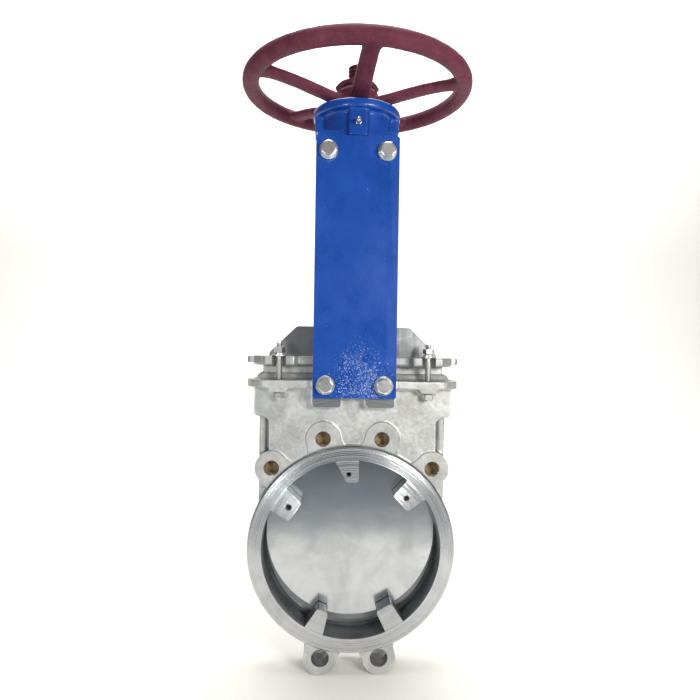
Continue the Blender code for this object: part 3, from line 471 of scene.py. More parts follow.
class Finish:
    """A material's node tree, with short calls for the nodes that the finishes use."""

    def __init__(self, name, metallic=0.0, coat=0.0, coat_roughness=0.1):
        self.material = bpy.data.materials.new(name)
        self.material.use_nodes = True
        self.tree = self.material.node_tree
        self.shader = self.tree.nodes["Principled BSDF"]
        self.shader.inputs["Metallic"].default_value = metallic
        self.shader.inputs["Coat Weight"].default_value = coat
        self.shader.inputs["Coat Roughness"].default_value = coat_roughness
        self.here = self.add("ShaderNodeTexCoord", {}).outputs["Object"]

    def add(self, kind, inputs, **settings):
        node = self.tree.nodes.new(kind)
        for key, value in settings.items():
            setattr(node, key, value)
        for key, value in inputs.items():
            self.feed(node.inputs[key], value)
        return node

    def feed(self, socket, value):
        if isinstance(value, bpy.types.NodeSocket):
            self.tree.links.new(value, socket)
        elif isinstance(value, tuple) and len(value) == 3 and socket.type == "RGBA":
            socket.default_value = (*value, 1)
        else:
            socket.default_value = value

    def noise(self, size, detail=2.0, rough=0.5, stretch=None, shift=0.0, warp=0.0):
        """Noise whose features are about size metres across; stretch lengthens them along an axis."""
        vector = self.here
        if stretch or shift:
            place = {"Location": (shift, shift * 0.7, shift * 1.3), "Scale": stretch or (1, 1, 1)}
            vector = self.add("ShaderNodeMapping", {"Vector": vector, **place}).outputs["Vector"]
        look = {"Vector": vector, "Scale": 1 / size, "Detail": detail, "Roughness": rough, "Distortion": warp}
        return self.add("ShaderNodeTexNoise", look).outputs["Fac"]

    def rings(self, radius, size, detail):
        """Noise that depends on the radius alone."""
        look = {"W": radius, "Scale": 1 / size, "Detail": detail}
        return self.add("ShaderNodeTexNoise", look, noise_dimensions="1D").outputs["Fac"]

    def remap(self, value, low, high, to_low=0.0, to_high=1.0, soft=False):
        limits = {"Value": value, "From Min": low, "From Max": high, "To Min": to_low, "To Max": to_high}
        kind = "SMOOTHSTEP" if soft else "LINEAR"
        return self.add("ShaderNodeMapRange", limits, interpolation_type=kind).outputs["Result"]

    def math(self, operation, a, b=0.0):
        return self.add("ShaderNodeMath", {0: a, 1: b}, operation=operation).outputs[0]

    def vector(self, operation, a, b=(0, 0, 0), scale=None):
        second = {1: b} if scale is None else {"Scale": scale}
        node = self.add("ShaderNodeVectorMath", {0: a, **second}, operation=operation)
        return node.outputs["Value" if operation == "LENGTH" else "Vector"]

    def mix(self, factor, a, b):
        node = self.add("ShaderNodeMix", {"Factor": factor}, data_type="RGBA")
        for socket, colour in zip([s for s in node.inputs if s.type == "RGBA"], (a, b)):
            self.feed(socket, colour)
        return [s for s in node.outputs if s.type == "RGBA"][0]

    def bump(self, height, distance, normal=None):
        under = {} if normal is None else {"Normal": normal}
        return self.add("ShaderNodeBump", {"Height": height, "Distance": distance, **under}).outputs["Normal"]

    def tilted(self, direction, amount):
        """The surface normal, leant by amount along a direction given in the object's own space."""
        spaces = {"vector_type": "NORMAL", "convert_from": "OBJECT", "convert_to": "WORLD"}
        to_world = self.add("ShaderNodeVectorTransform", {"Vector": direction}, **spaces)
        lean = self.vector("SCALE", to_world.outputs["Vector"], scale=amount)
        normal = self.add("ShaderNodeNewGeometry", {}).outputs["Normal"]
        return self.vector("NORMALIZE", self.vector("ADD", normal, lean))

    def corner_shade_and_dirt(self, reach, amount):
        """Painted shade and dirt along inner corners, up to reach metres from them: darker where ambient
        occlusion finds close surfaces.
        """
        node = self.add("ShaderNodeAmbientOcclusion", {"Distance": reach}, samples=6, only_local=True)
        return self.remap(node.outputs["AO"], 0.50, 0.82, amount, 0.0)

    def where(self, axis):
        return self.add("ShaderNodeSeparateXYZ", {0: self.here}).outputs[axis]

    def done(self, colour, roughness, normal=None):
        self.feed(self.shader.inputs["Base Color"], colour)
        self.feed(self.shader.inputs["Roughness"], roughness)
        if normal is not None:
            self.feed(self.shader.inputs["Normal"], normal)
        return self.material


def cast_steel(name, dark, light, stain=0.5):
    """Blasted stainless casting: mottled grey, with a fine grain and faint brown stains."""
    f = Finish(name, metallic=0.72)
    mottle = f.noise(0.034, 6, 0.62, warp=0.4)
    fine = f.noise(0.0042, 4, 0.6, shift=3.1)
    tone = f.math("ADD", f.math("MULTIPLY", mottle, 0.72), f.math("MULTIPLY", fine, 0.28))
    colour = f.mix(f.remap(tone, 0.36, 0.62), dark, light)
    brown = f.remap(f.noise(0.026, 5, 0.6, shift=8.4), 0.58, 0.74, 0, stain, soft=True)
    colour = f.mix(brown, colour, (0.42, 0.38, 0.31))
    pits = f.remap(f.noise(0.0021, 2, 0.5, shift=5.2), 0.70, 0.80, 0, 0.5)
    colour = f.mix(pits, colour, (0.20, 0.20, 0.19))
    # Painted shade and dirt in inner corners: the steel turns near black where ambient occlusion is low.
    colour = f.mix(f.corner_shade_and_dirt(0.0035, 0.85), colour, (0.085, 0.085, 0.08))
    grain = f.bump(f.noise(0.0009, 3, 0.7), 0.00010)
    normal = f.bump(f.noise(0.006, 4, 0.55, shift=1.7), 0.00032, grain)
    return f.done(colour, f.remap(fine, 0.3, 0.7, 0.40, 0.56), normal)


def machined_steel(name, colour, tilt=0.10, roughness=(0.20, 0.30), grooves=0.00055, metallic=1.0):
    """Lathe-turned about the Y axis: fine grooves spread the light across them."""
    f = Finish(name, metallic=metallic)
    radial = f.vector("MULTIPLY", f.here, (1, 0, 1))
    radius = f.vector("LENGTH", radial)
    groove, band = f.rings(radius, grooves, 2.0), f.rings(radius, 0.0032, 1.0)
    lean = f.remap(groove, 0.25, 0.75, -tilt, tilt)
    lean = f.math("ADD", lean, f.remap(band, 0.3, 0.7, -0.10 * tilt, 0.10 * tilt))
    normal = f.tilted(f.vector("NORMALIZE", radial), lean)
    smudge = f.noise(0.045, 5, 0.6, warp=0.8)
    tint = f.mix(f.remap(smudge, 0.40, 0.70), colour, tuple(c * 0.80 for c in colour))
    tint = f.mix(f.remap(band, 0.35, 0.65, 0, 0.25), tint, (0.42, 0.42, 0.42))
    return f.done(tint, f.remap(smudge, 0.3, 0.7, *roughness), normal)


def polished_steel(name):
    """Bright gate plate: vertical polishing lines, smudges and a little waviness, duller above the gland."""
    f = Finish(name, metallic=1.0)
    lines = f.noise(0.0011, 3, 0.6, stretch=(1, 1, 0.012))
    wide = f.noise(0.006, 3, 0.6, stretch=(1, 1, 0.05), shift=2.3)
    amount = f.math("ADD", f.remap(lines, 0.3, 0.7, -0.022, 0.022), f.remap(wide, 0.3, 0.7, -0.015, 0.015))
    normal = f.tilted((1.0, 0.0, 0.0), amount)
    normal = f.bump(f.noise(0.075, 1, 0.4, shift=4.0), 0.0006, normal)
    smudge = f.noise(0.050, 6, 0.62, warp=0.7)
    wiped = f.noise(0.024, 5, 0.6, stretch=(0.5, 1, 1.6), shift=7.7, warp=0.8)
    colour = f.mix(f.remap(smudge, 0.42, 0.66), (0.60, 0.61, 0.62), (0.49, 0.50, 0.51))
    specks = f.remap(f.noise(0.0030, 2, 0.5, shift=6.1), 0.74, 0.80, 0, 0.7)
    colour = f.mix(specks, colour, (0.82, 0.82, 0.80))
    rough = f.math("ADD", f.remap(smudge, 0.35, 0.70, 0.15, 0.22), f.remap(wiped, 0.5, 0.75, 0, 0.06))
    dull = f.remap(f.where("Z"), *DULL_Z, soft=True)
    colour = f.mix(f.math("MULTIPLY", dull, 0.20), colour, (0.20, 0.21, 0.22))
    rough = f.math("ADD", rough, f.math("MULTIPLY", dull, 0.05))
    return f.done(colour, rough, normal)


def plated_steel(name, colour=(0.84, 0.84, 0.82), roughness=(0.26, 0.38)):
    """Zinc-plated fastener: bright, slightly cloudy, with handling marks."""
    f = Finish(name, metallic=1.0)
    cloud = f.noise(0.0040, 5, 0.65, warp=0.6)
    tint = f.mix(f.remap(cloud, 0.35, 0.68), colour, tuple(c * 0.72 for c in colour))
    yellow = f.remap(f.noise(0.011, 3, 0.5, shift=2.9), 0.55, 0.75, 0, 0.25)
    tint = f.mix(yellow, tint, (0.62, 0.55, 0.38))
    # Painted shade and dirt in inner corners, such as where a head meets its washer.
    tint = f.mix(f.corner_shade_and_dirt(0.0022, 0.85), tint, (0.10, 0.10, 0.095))
    normal = f.bump(f.noise(0.0012, 3, 0.6), 0.00004)
    return f.done(tint, f.remap(cloud, 0.3, 0.7, *roughness), normal)


def blue_paint(name, dusty_x=0.008, dusty_z=0.222, dusty_r=(0.016, 0.060)):
    """Thick gloss enamel with orange peel, and pale specks where the plate's foot was sprayed with dust."""
    f = Finish(name, coat=0.30, coat_roughness=0.12)
    cloud = f.noise(0.045, 4, 0.55, warp=0.5)
    colour = f.mix(f.remap(cloud, 0.35, 0.68), (0.0042, 0.058, 0.325), (0.0068, 0.072, 0.385))
    offset = f.vector("SUBTRACT", f.vector("MULTIPLY", f.here, (1, 0, 0.8)), (dusty_x, 0, dusty_z * 0.8))
    near = f.remap(f.vector("LENGTH", offset), *dusty_r, 1.0, 0.0, soft=True)
    patch = f.remap(f.noise(0.030, 3, 0.5, shift=1.9), 0.35, 0.65, 0.6, 1.0)
    level = f.math("SUBTRACT", 0.74, f.math("MULTIPLY", f.math("MULTIPLY", near, patch), 0.20))
    speck = f.noise(0.0014, 2, 0.6, shift=9.2)
    dust = f.remap(f.math("SUBTRACT", speck, level), 0.0, 0.04, 0, 0.7)
    colour = f.mix(dust, colour, (0.48, 0.56, 0.74))
    peel = f.bump(f.noise(0.0026, 2, 0.4), 0.00005)
    normal = f.bump(f.noise(0.016, 3, 0.5, shift=3.3), 0.00030, peel)
    rough = f.math("ADD", f.remap(cloud, 0.3, 0.7, 0.24, 0.34), f.math("MULTIPLY", dust, 0.3))
    return f.done(colour, rough, normal)


def maroon_paint(name):
    """Primer-like red-brown enamel over a rough casting."""
    f = Finish(name)
    f.shader.inputs["Specular IOR Level"].default_value = 0.05
    cloud = f.noise(0.020, 5, 0.6, warp=0.6)
    colour = f.mix(f.remap(cloud, 0.35, 0.66), (0.122, 0.031, 0.050), (0.167, 0.046, 0.072))
    dusty = f.remap(f.noise(0.0032, 4, 0.6, shift=4.4), 0.60, 0.74, 0, 0.25)
    colour = f.mix(dusty, colour, (0.26, 0.16, 0.20))
    lumps = f.bump(f.noise(0.0080, 4, 0.6), 0.00045)
    normal = f.bump(f.noise(0.0018, 3, 0.6, shift=2.2), 0.00012, lumps)
    return f.done(colour, f.remap(cloud, 0.3, 0.7, 0.36, 0.50), normal)


def rusty_thread(name):
    """Inside of a tapped hole: steel under a brown film."""
    f = Finish(name, metallic=0.55)
    cloud = f.noise(0.0060, 5, 0.65, warp=0.7)
    colour = f.mix(f.remap(cloud, 0.35, 0.65), (0.27, 0.19, 0.10), (0.56, 0.44, 0.28))
    normal = f.bump(f.noise(0.0011, 3, 0.6), 0.00012)
    return f.done(colour, f.remap(cloud, 0.3, 0.7, 0.48, 0.66), normal)


def greased_steel(name):
    """Stem thread under a thin film of grease."""
    f = Finish(name, metallic=1.0, coat=0.35, coat_roughness=0.2)
    cloud = f.noise(0.012, 5, 0.6, warp=0.8)
    colour = f.mix(f.remap(cloud, 0.38, 0.66), (0.56, 0.56, 0.54), (0.27, 0.23, 0.17))
    normal = f.bump(f.noise(0.0009, 2, 0.5, stretch=(1, 1, 0.2)), 0.00003)
    return f.done(colour, f.remap(cloud, 0.3, 0.7, 0.22, 0.40), normal)


def bronze(name):
    f = Finish(name, metallic=1.0)
    cloud = f.noise(0.010, 5, 0.6, warp=0.6)
    colour = f.mix(f.remap(cloud, 0.35, 0.66), (0.56, 0.36, 0.15), (0.36, 0.20, 0.08))
    normal = f.bump(f.noise(0.0008, 2, 0.5), 0.00004)
    return f.done(colour, f.remap(cloud, 0.3, 0.7, 0.26, 0.42), normal)


def packing_braid(name):
    """Square-braided packing: diagonal strands with graphite dust."""
    f = Finish(name)
    look = {"Vector": f.here, "Scale": 160.0, "Distortion": 1.5}
    strands = f.add("ShaderNodeTexWave", look, wave_type="BANDS", bands_direction="DIAGONAL").outputs["Fac"]
    colour = f.mix(strands, (0.10, 0.10, 0.095), (0.34, 0.33, 0.30))
    return f.done(colour, f.remap(strands, 0, 1, 0.7, 0.95), f.bump(strands, 0.0005))


CAST_BODY = cast_steel("cast_body_steel", (0.40, 0.40, 0.385), (0.62, 0.62, 0.60))
CAST_GLAND = cast_steel("cast_gland_steel", (0.35, 0.35, 0.34), (0.56, 0.56, 0.545), stain=0.4)
# Darker copy of the body steel for the pocket walls, the tab sides and the clear lug holes: painted shade.
SHADED_POCKET_STEEL = cast_steel("pocket_wall_painted_shade_steel", (0.11, 0.12, 0.13), (0.19, 0.20, 0.21), stain=0.2)
TURNED = machined_steel("turned_steel", (0.60, 0.61, 0.62), tilt=0.42)
MILLED = machined_steel("milled_steel", (0.52, 0.53, 0.53), 0.03, (0.34, 0.44), grooves=0.0012)
# Dark milled pad faces: painted shade of the yoke plate that stands in front of them.
SHADED_PAD_FACE = machined_steel("pad_face_painted_shade_steel", (0.200, 0.212, 0.216), 0.02, (0.42, 0.50), grooves=0.0016)
GROUND = machined_steel("ground_bevel_steel", (0.52, 0.54, 0.57), 0.03, (0.40, 0.50), metallic=0.45)
POLISHED = polished_steel("polished_gate_steel")
SEAT = plated_steel("seat_steel", (0.52, 0.52, 0.51))
ZINC = plated_steel("zinc_plated_steel")
WASHER = plated_steel("dull_washer_steel", (0.62, 0.66, 0.72), (0.30, 0.42))
PLAIN = plated_steel("plain_steel", (0.50, 0.50, 0.49), (0.28, 0.42))
BLUE = blue_paint("blue_gloss_paint")
MAROON = maroon_paint("maroon_paint")
RUSTY = rusty_thread("brown_thread")
GREASED = greased_steel("greased_stem_steel")
BRONZE = bronze("bronze")
PACKING = packing_braid("packing_braid")


# ---- body ----


def upright_pair(outline, near, far, slot=CAST):
    """The same outline in front and behind, between two distances from the middle plane."""
    spans = (sorted((front * near, front * far)) for front in (-1, 1))
    return [slab([outline], *span, upright=True, slot=slot) for span in spans]


def chest_plan():
    """Section of the chest across its height: a raised panel over thinner side strips."""
    round_r, strip_r = 0.003, 0.0025
    groove_x, groove_depth = PANEL_X + GROOVE_W / 2, 0.004
    right = [(PANEL_X - round_r, -CHEST_Y)]
    right += arc((PANEL_X - round_r, -CHEST_Y + round_r), round_r, -math.pi / 2, 0, 5)
    right += arc((groove_x, -SIDE_Y + groove_depth - GROOVE_W / 2), GROOVE_W / 2, math.pi, 0, 8)
    right += [(PANEL_X + GROOVE_W, -SIDE_Y)]
    right += arc((SIDE_X - strip_r, -SIDE_Y + strip_r), strip_r, -math.pi / 2, 0, 4)
    return mirrored(right + [(x, -y) for x, y in reversed(right)])


def chest_front():
    """Face of the panel: straight sides that sweep out into the wider shoulder."""
    sweep, corner = 0.010, 0.006
    right = [(PANEL_X, PANEL_FOOT_Z)]
    right += arc((PANEL_X + sweep, SHOULDER_Z - sweep), sweep, math.pi, math.pi / 2, 8)
    right += arc((SHOULDER_X - corner, SHOULDER_Z + corner), corner, -math.pi / 2, 0, 6)
    right += [(SHOULDER_X, SHOULDER_TOP_Z)]
    return mirrored(right)


def flange_outline(steps=28):
    depth = FLANGE_X - FLANGE_STRAIGHT_X
    angles = [math.pi * (i / steps - 0.5) for i in range(steps + 1)]
    return mirrored([(FLANGE_STRAIGHT_X + depth * math.cos(a), FLANGE_Y * math.sin(a)) for a in angles])


def raw_body():
    stock_y = FACE_Y + STOCK
    ring = [(RAW_BORE_R, stock_y), (RING_R, stock_y), (RING_R, -stock_y), (RAW_BORE_R, -stock_y)]
    neck_scale = [top / foot for top, foot in zip(NECK_TOP, NECK_FOOT)]
    neck_low, neck_high = (-NECK_FOOT[0], -NECK_FOOT[1], FLANGE_Z[1] - 0.003), (*NECK_FOOT, NECK_TOP_Z)
    solids = [
        along_y(lathe(ring, FINE)),
        slab([chest_plan()], *CHEST_Z),
        slab([chest_front()], -CHEST_Y, CHEST_Y, upright=True),
        slab([flange_outline()], *FLANGE_Z),
        block(neck_low, neck_high, top_scale=neck_scale),
    ]
    low_half, top_half = STUD_BOSS_HALF_X
    for x in (-STUD_X, STUD_X):
        low, top = STUD_BOSS_Z, FLANGE_Z[0] + 0.002
        boss = [(x - low_half, low), (x + low_half, low), (x + top_half, top), (x - top_half, top)]
        solids += upright_pair(boss, *STUD_BOSS_Y)
    pad_middle = (sum(PAD_X) / 2, sum(PAD_Z) / 2)
    for side in (-1, 1):
        half = ((PAD_X[1] - PAD_X[0]) / 2, (PAD_Z[1] - PAD_Z[0]) / 2)
        pad = rounded_box(*half, 0.003, centre=(side * pad_middle[0], pad_middle[1]))
        solids += upright_pair(pad, PAD_ROOT_Y, PAD_Y + STOCK)
    for angle in TAPPED_ANGLES:
        solids.append(slab([lug_outline(angle)], -LUG_FACE_Y - STOCK, LUG_FACE_Y + STOCK, upright=True))
    for angle in CLEAR_ANGLES:
        solids += upright_pair(lug_outline(angle), CLEAR_LUG_INNER_Y, LUG_FACE_Y + STOCK)
    return fused(solids, voxel=0.0013, rounds=3, keep=0.42, unevenness=0.0003)


def facing_cutters(front):
    """One faces the ring, the other trims the lugs round it, which keep their blasted look."""
    outer, inner, high, way = 0.1745, 0.080, FACE_Y + 0.006, 0.0004
    ring = [(inner, FACE_Y), (RING_R - RING_CHAMFER, FACE_Y), (RING_R + way, FACE_Y - RING_CHAMFER - way)]
    ring += [(RING_R + way, high), (inner, high)]
    lugs = [(RING_R, LUG_FACE_Y), (outer, LUG_FACE_Y), (outer, high), (RING_R, high)]
    shapes = ((ring, FINE, MACHINED), (lugs, FINE, CAST))
    return [along_y(lathe(*shape), forward=front < 0) for shape in shapes]


def tab_blank(angle_deg, left, right):
    """Space that the bore leaves for one guide tab."""
    round_r, root_r = 0.0032, POCKET_R + 0.004
    outline = [(right[0], root_r)]
    outline += arc((right[1] - round_r, TAB_TIP_R + round_r), round_r, 0, -math.pi / 2, 6)
    outline += arc((left[1] + round_r, TAB_TIP_R + round_r), round_r, -math.pi / 2, -math.pi, 6)
    outline += [(left[0], root_r)]
    tab = slab([outline], -FACE_Y - 0.010, TAB_BACK_Y, upright=True, slot=WALL)
    return moved(tab, Matrix.Rotation(math.radians(angle_deg), 4, "Y"))


def bore_cutter():
    past, lip = 0.003, 0.0006
    profile = [(0, FACE_Y + past), (BORE_R + lip, FACE_Y + past), (BORE_R + lip, FACE_Y)]
    profile += [(BORE_R, FACE_Y - lip), (BORE_R, SEAT_BACK_Y), (SEAT_BORE_R, SEAT_BACK_Y)]
    profile += [(SEAT_BORE_R, POCKET_BACK_Y), (POCKET_R, POCKET_BACK_Y)]
    profile += [(POCKET_R, -FACE_Y + lip), (POCKET_R + lip, -FACE_Y)]
    profile += [(POCKET_R + lip, -FACE_Y - past), (0, -FACE_Y - past)]
    # Its faces take the pocket-wall slot, whose darker finish paints in shade.
    cutter = along_y(lathe(profile, FINE, WALL))
    return worked(cutter, [tab_blank(*tab[:3]) for tab in TABS])


def tapped_cutter(angle_deg, front):
    """Threaded hole with an opened mouth."""
    depth, past, chamfer = TAPPED_DEPTH, 0.002, 0.0008
    thread = (THREAD_R, THREAD_R - TAPPED_R, THREAD_PITCH)
    hole = threaded(*thread, -depth, past, steps=32, ends=0.0002, slot=THREAD)
    mouth = [(0, past), (THREAD_R + chamfer, past), (THREAD_R + chamfer, 0)]
    mouth += [(TAPPED_R - chamfer, -0.003), (0, -0.003)]
    hole = worked(hole, [lathe(mouth, 40, MACHINED)], "UNION")
    return along_y(hole, on_bolt_circle(angle_deg, front * LUG_FACE_Y), forward=front < 0)


def make_body():
    body = raw_body()
    worked(body, [*facing_cutters(-1), *facing_cutters(1), bore_cutter()])
    pad_x = PAD_X[1] + 0.004
    high = 0.004
    cutters = [
        block((-SLOT_X, -SLOT_Y, 0.0), (SLOT_X, SLOT_Y, BOX_FLOOR_Z + PAST), MACHINED),
        block((-BOX_X, -BOX_Y, BOX_FLOOR_Z), (BOX_X, BOX_Y, NECK_TOP_Z + 0.004), MACHINED),
    ]
    for front in (-1, 1):
        span_z = (PAD_Z[0] - high, PAD_Z[1] + high)
        # The pad faces take the slot of the darker pad finish: painted shade under the yoke plate.
        cutters.append(side_block(front, pad_x, PAD_Y, PAD_Y + high, span_z, SHADED_PAD))
        for angle in TAPPED_ANGLES:
            cutters.append(tapped_cutter(angle, front))
        for x in (-YOKE_BOLT_X, YOKE_BOLT_X):
            mouth, floor = ((x, front * y, YOKE_BOLT_Z[0]) for y in (PAD_Y + PAST, PAD_Y - YOKE_HOLE_DEPTH))
            cutters.append(drill(YOKE_BOLT_R + GAP, mouth, floor))
        for x in (-STUD_X, STUD_X):
            ends = [(x, front * STUD_Y, z) for z in (STUD_BOSS_Z - 0.002, FLANGE_Z[1] + 0.002)]
            cutters.append(drill(STUD_R + GAP, *ends, steps=24))
    for angle in CLEAR_ANGLES:
        ends = [on_bolt_circle(angle, y) for y in (-LUG_FACE_Y - 0.003, LUG_FACE_Y + 0.003)]
        cutters.append(drill(CLEAR_R, *ends, WALL))
        for front in (-1, 1):
            start, end = (on_bolt_circle(angle, front * y) for y in (LUG_FACE_Y + PAST, LUG_FACE_Y - 0.006))
            cutters.append(drill(CLEAR_R - 0.0002, start, end, chamfer=0.0006))
    for angle, _, _, hole_r, (x, z) in TABS:
        if hole_r:
            hole = drill(hole_r, (x, -FACE_Y - PAST, z), (x, TAB_HOLE_FLOOR_Y, z), CAST, 24, 0.0005)
            cutters.append(moved(hole, Matrix.Rotation(math.radians(angle), 4, "Y")))
    worked(body, cutters)
    piece(body, "body_casting", "frame", ["body"], [CAST_BODY, TURNED, RUSTY, SHADED_POCKET_STEEL, SHADED_PAD_FACE])


def make_seat():
    lip, outer, back = 0.0006, SEAT_BORE_R - GAP, SEAT_BACK_Y - GAP
    profile = [(BORE_R, POCKET_BACK_Y + lip), (BORE_R + lip, POCKET_BACK_Y), (outer, POCKET_BACK_Y)]
    profile += [(outer, back), (BORE_R, back)]
    piece(along_y(lathe(profile, FINE)), "seat_ring_turned", "frame", ["seat_ring"], [SEAT])


# ---- gate ----


def make_gate():
    chamfer_x, chamfer_z = GATE_CHAMFER
    corner = 0.0015
    right = arc((0, GATE_ARC_Z), GATE_X, -math.pi / 2, 0, 90)[1:]
    right += [
        (GATE_X, GATE_TOP_Z - chamfer_z - corner),
        (GATE_X - corner * 0.7, GATE_TOP_Z - chamfer_z + corner * 0.7),
        (GATE_X - chamfer_x + corner * 0.7, GATE_TOP_Z - corner * 0.7),
        (GATE_X - chamfer_x - corner, GATE_TOP_Z),
    ]
    outline = [(0, GATE_ARC_Z - GATE_X), *right, *[(-x, z) for x, z in reversed(right)]]
    gate = slab([outline], -GATE_HALF_T, GATE_HALF_T, upright=True, edge=0.0004)
    past = 0.002
    slope = GATE_BEVEL_DEPTH / GATE_BEVEL
    outer_r, middle_z = GATE_X + GATE_BEVEL, GATE_ARC_Z + GATE_BEVEL
    profile = [
        (GATE_X - past, -GATE_HALF_T - past * slope),
        (outer_r + past, -GATE_HALF_T + GATE_BEVEL_DEPTH + past * slope),
        (outer_r + past, -GATE_HALF_T - past * slope),
    ]
    bevel = along_y(lathe(profile, FINE, MACHINED), (0, 0, middle_z))
    worked(bevel, [block((-0.2, -0.1, middle_z - GAP), (0.2, 0.1, 0.3), MACHINED)])
    cutters = [bevel]
    for x in (-CLEVIS_BOLT_X, CLEVIS_BOLT_X):
        cutters.append(drill_across(CLEVIS_BOLT_R + GAP, x, CLEVIS_BOLT_Z, CLEVIS_Y))
    worked(gate, cutters)
    piece(gate, "gate_blade", "gate_and_stem", ["gate"], [POLISHED, GROUND], FLAT_CREASE)


# ---- gland and its studs ----


def gland_outline():
    """Right half of the gland plate, from its front edge to its back edge."""
    lug_in, lug_out = STUD_X - STUD_LUG_HALF_X, STUD_X + STUD_LUG_HALF_X
    front = [(lug_in - 0.004, -GLAND_Y), (lug_in, -GLAND_Y - 0.004), (lug_in, -STUD_LUG_Y + 0.002)]
    front += [(lug_in + 0.002, -STUD_LUG_Y), (lug_out - 0.003, -STUD_LUG_Y), (lug_out, -STUD_LUG_Y + 0.004)]
    front += [(lug_out + 0.003, -0.028), (0.126, -0.020), (0.131, -0.010)]
    return mirrored(front + [(x, -y) for x, y in reversed(front)])


def make_gland():
    low, high = GLAND_Z
    shrink = 0.9995
    collar = rounded_box(BOX_X - 0.0008, BOX_Y - 0.0008, 0.002)
    lip = [(x * 0.985, y * 0.90) for x, y in gland_outline()]
    solids = [
        slab([[(x * shrink, y * shrink) for x, y in gland_outline()]], low + 0.0015, high),
        slab([lip], low, low + 0.004),
        slab([rounded_box(TONGUE_X, TONGUE_Y, 0.006)], *TONGUE_Z),
        slab([collar], PACKING_TOP_Z + 0.0005, low + 0.004),
    ]
    gland = fused(solids, voxel=0.0010, rounds=3, keep=0.45, unevenness=0.0002)
    way = 0.0006
    slot_x, slot_y = GATE_X + way, GATE_HALF_T + way
    cutters = [block((-slot_x, -slot_y, PACKING_TOP_Z - 0.002), (slot_x, slot_y, high + 0.003), MACHINED)]
    for x in (-STUD_X, STUD_X):
        for front in (-1, 1):
            y, half = front * STUD_Y, STUD_SLOT_HALF_X
            cutters.append(side_block(front, half, STUD_Y, STUD_LUG_Y + 0.004, (0.23, 0.26), CAST, x))
            cutters.append(drill(half, (x, y, 0.229), (x, y, 0.261), CAST))
    worked(gland, cutters)
    piece(gland, "gland_follower", "frame", ["gland"], [CAST_GLAND, MILLED])


def spring_washer(inner, outer, low, thickness):
    """Split ring whose ends are sprung apart."""
    steps, gap = 48, math.radians(9)
    rows = []
    for i in range(steps + 1):
        share = i / steps
        angle = gap / 2 + (math.tau - gap) * share
        lift = 0.00045 * share
        corners = ((inner, 0), (outer, 0), (outer, thickness), (inner, thickness))
        rows.append([(r * math.cos(angle), r * math.sin(angle), low + lift + h) for r, h in corners])
    return grid(rows)


def flat_washer(inner, outer, low, high, edge=0.0003, steps=64):
    under = [(inner, low + edge), (inner + edge, low), (outer - edge, low), (outer, low + edge)]
    above = [(outer, high - edge), (outer - edge, high), (inner + edge, high), (inner, high - edge)]
    return lathe(under + above, steps)


def box_z(node):
    low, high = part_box(node)
    return low[2], high[2]


def make_gland_fasteners():
    stud = threaded(STUD_R, 0.0003, 0.00125, *box_z("gland_stud_1"), steps=24)
    low, high = box_z("gland_washer_1")
    washer = flat_washer(STUD_R + GAP, 0.0100, low, low + 0.0018)
    spring = spring_washer(STUD_R + GAP, 0.0070, low + 0.0019, high - low - 0.0025)
    washer = worked(washer, [spring], "UNION")
    nuts = {}
    for kind in ("upper_nut", "lower_nut"):
        low, high = box_z(f"gland_{kind}_1")
        nut = hexagon(0.0130, low, high)
        tight, wide = STUD_R + 0.0001, STUD_R + 0.0008
        bore = [(0, high + PAST), (wide, high + PAST), (wide, high), (tight, high - 0.0008)]
        bore += [(tight, low + 0.0008), (wide, low), (wide, low - PAST), (0, low - PAST)]
        nuts[kind] = worked(nut, [lathe(bore, 32)])
    shapes = {"stud": stud, "washer": washer, **nuts}
    for kind, source in shapes.items():
        for index in range(1, 5):
            low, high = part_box(f"gland_{kind}_{index}")
            turn = Matrix.Rotation(math.radians(17 * index if kind == "washer" else 0), 4, "Z")
            place = Matrix.Translation(((low[0] + high[0]) / 2, (low[1] + high[1]) / 2, 0)) @ turn
            name = f"gland_{kind}_{index}"
            crease = ROUND_CREASE if kind == "stud" else FLAT_CREASE
            piece(stamp(source, place), f"{name}_plated", "frame", [name], [ZINC], crease)
        bpy.data.objects.remove(source)


# ---- yoke ----


def make_yoke_plates():
    for face in ("front", "back"):
        name = f"yoke_plate_{face}"
        low, high = (Vector(corner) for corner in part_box(name))
        middle, half = (low + high) / 2, (high - low) / 2
        outline = rounded_box(half.x, half.z, 0.003, centre=(middle.x, middle.z))
        spots = [(x, z) for z in YOKE_BOLT_Z for x in (-YOKE_BOLT_X, YOKE_BOLT_X)]
        holes = [circle(spot, YOKE_BOLT_R + 0.0007) for spot in spots]
        plate = slab([outline, *holes], low.y, high.y, upright=True, edge=0.0009, edge_steps=3)
        piece(plate, f"{name}_painted", "frame", [name], [BLUE], PLATE_CREASE)


def bolt_along_z(head, shank_r, neck_high, neck_low, *others):
    """A head with its plain neck and what else belongs to the bolt."""
    neck = [(0, neck_high), (shank_r - 0.0001, neck_high), (shank_r - 0.0001, neck_low), (0, neck_low)]
    return worked(head, [lathe(neck, 32), *others], "UNION")


def place_along_y(source, name, body, front, tall, finish, crease, twist=0):
    """Put a fastener made along Z, tall above its bearing face, where its CAD node is."""
    low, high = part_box(name)
    outer_y = low[1] if front < 0 else high[1]
    place = Matrix.Translation(((low[0] + high[0]) / 2, outer_y - front * tall, (low[2] + high[2]) / 2))
    place = place @ Matrix.Rotation(-front * math.pi / 2, 4, "X")
    place = place @ Matrix.Rotation(math.radians(twist), 4, "Z")
    piece(stamp(source, place), f"{name}_plated", body, [name], [finish], crease)


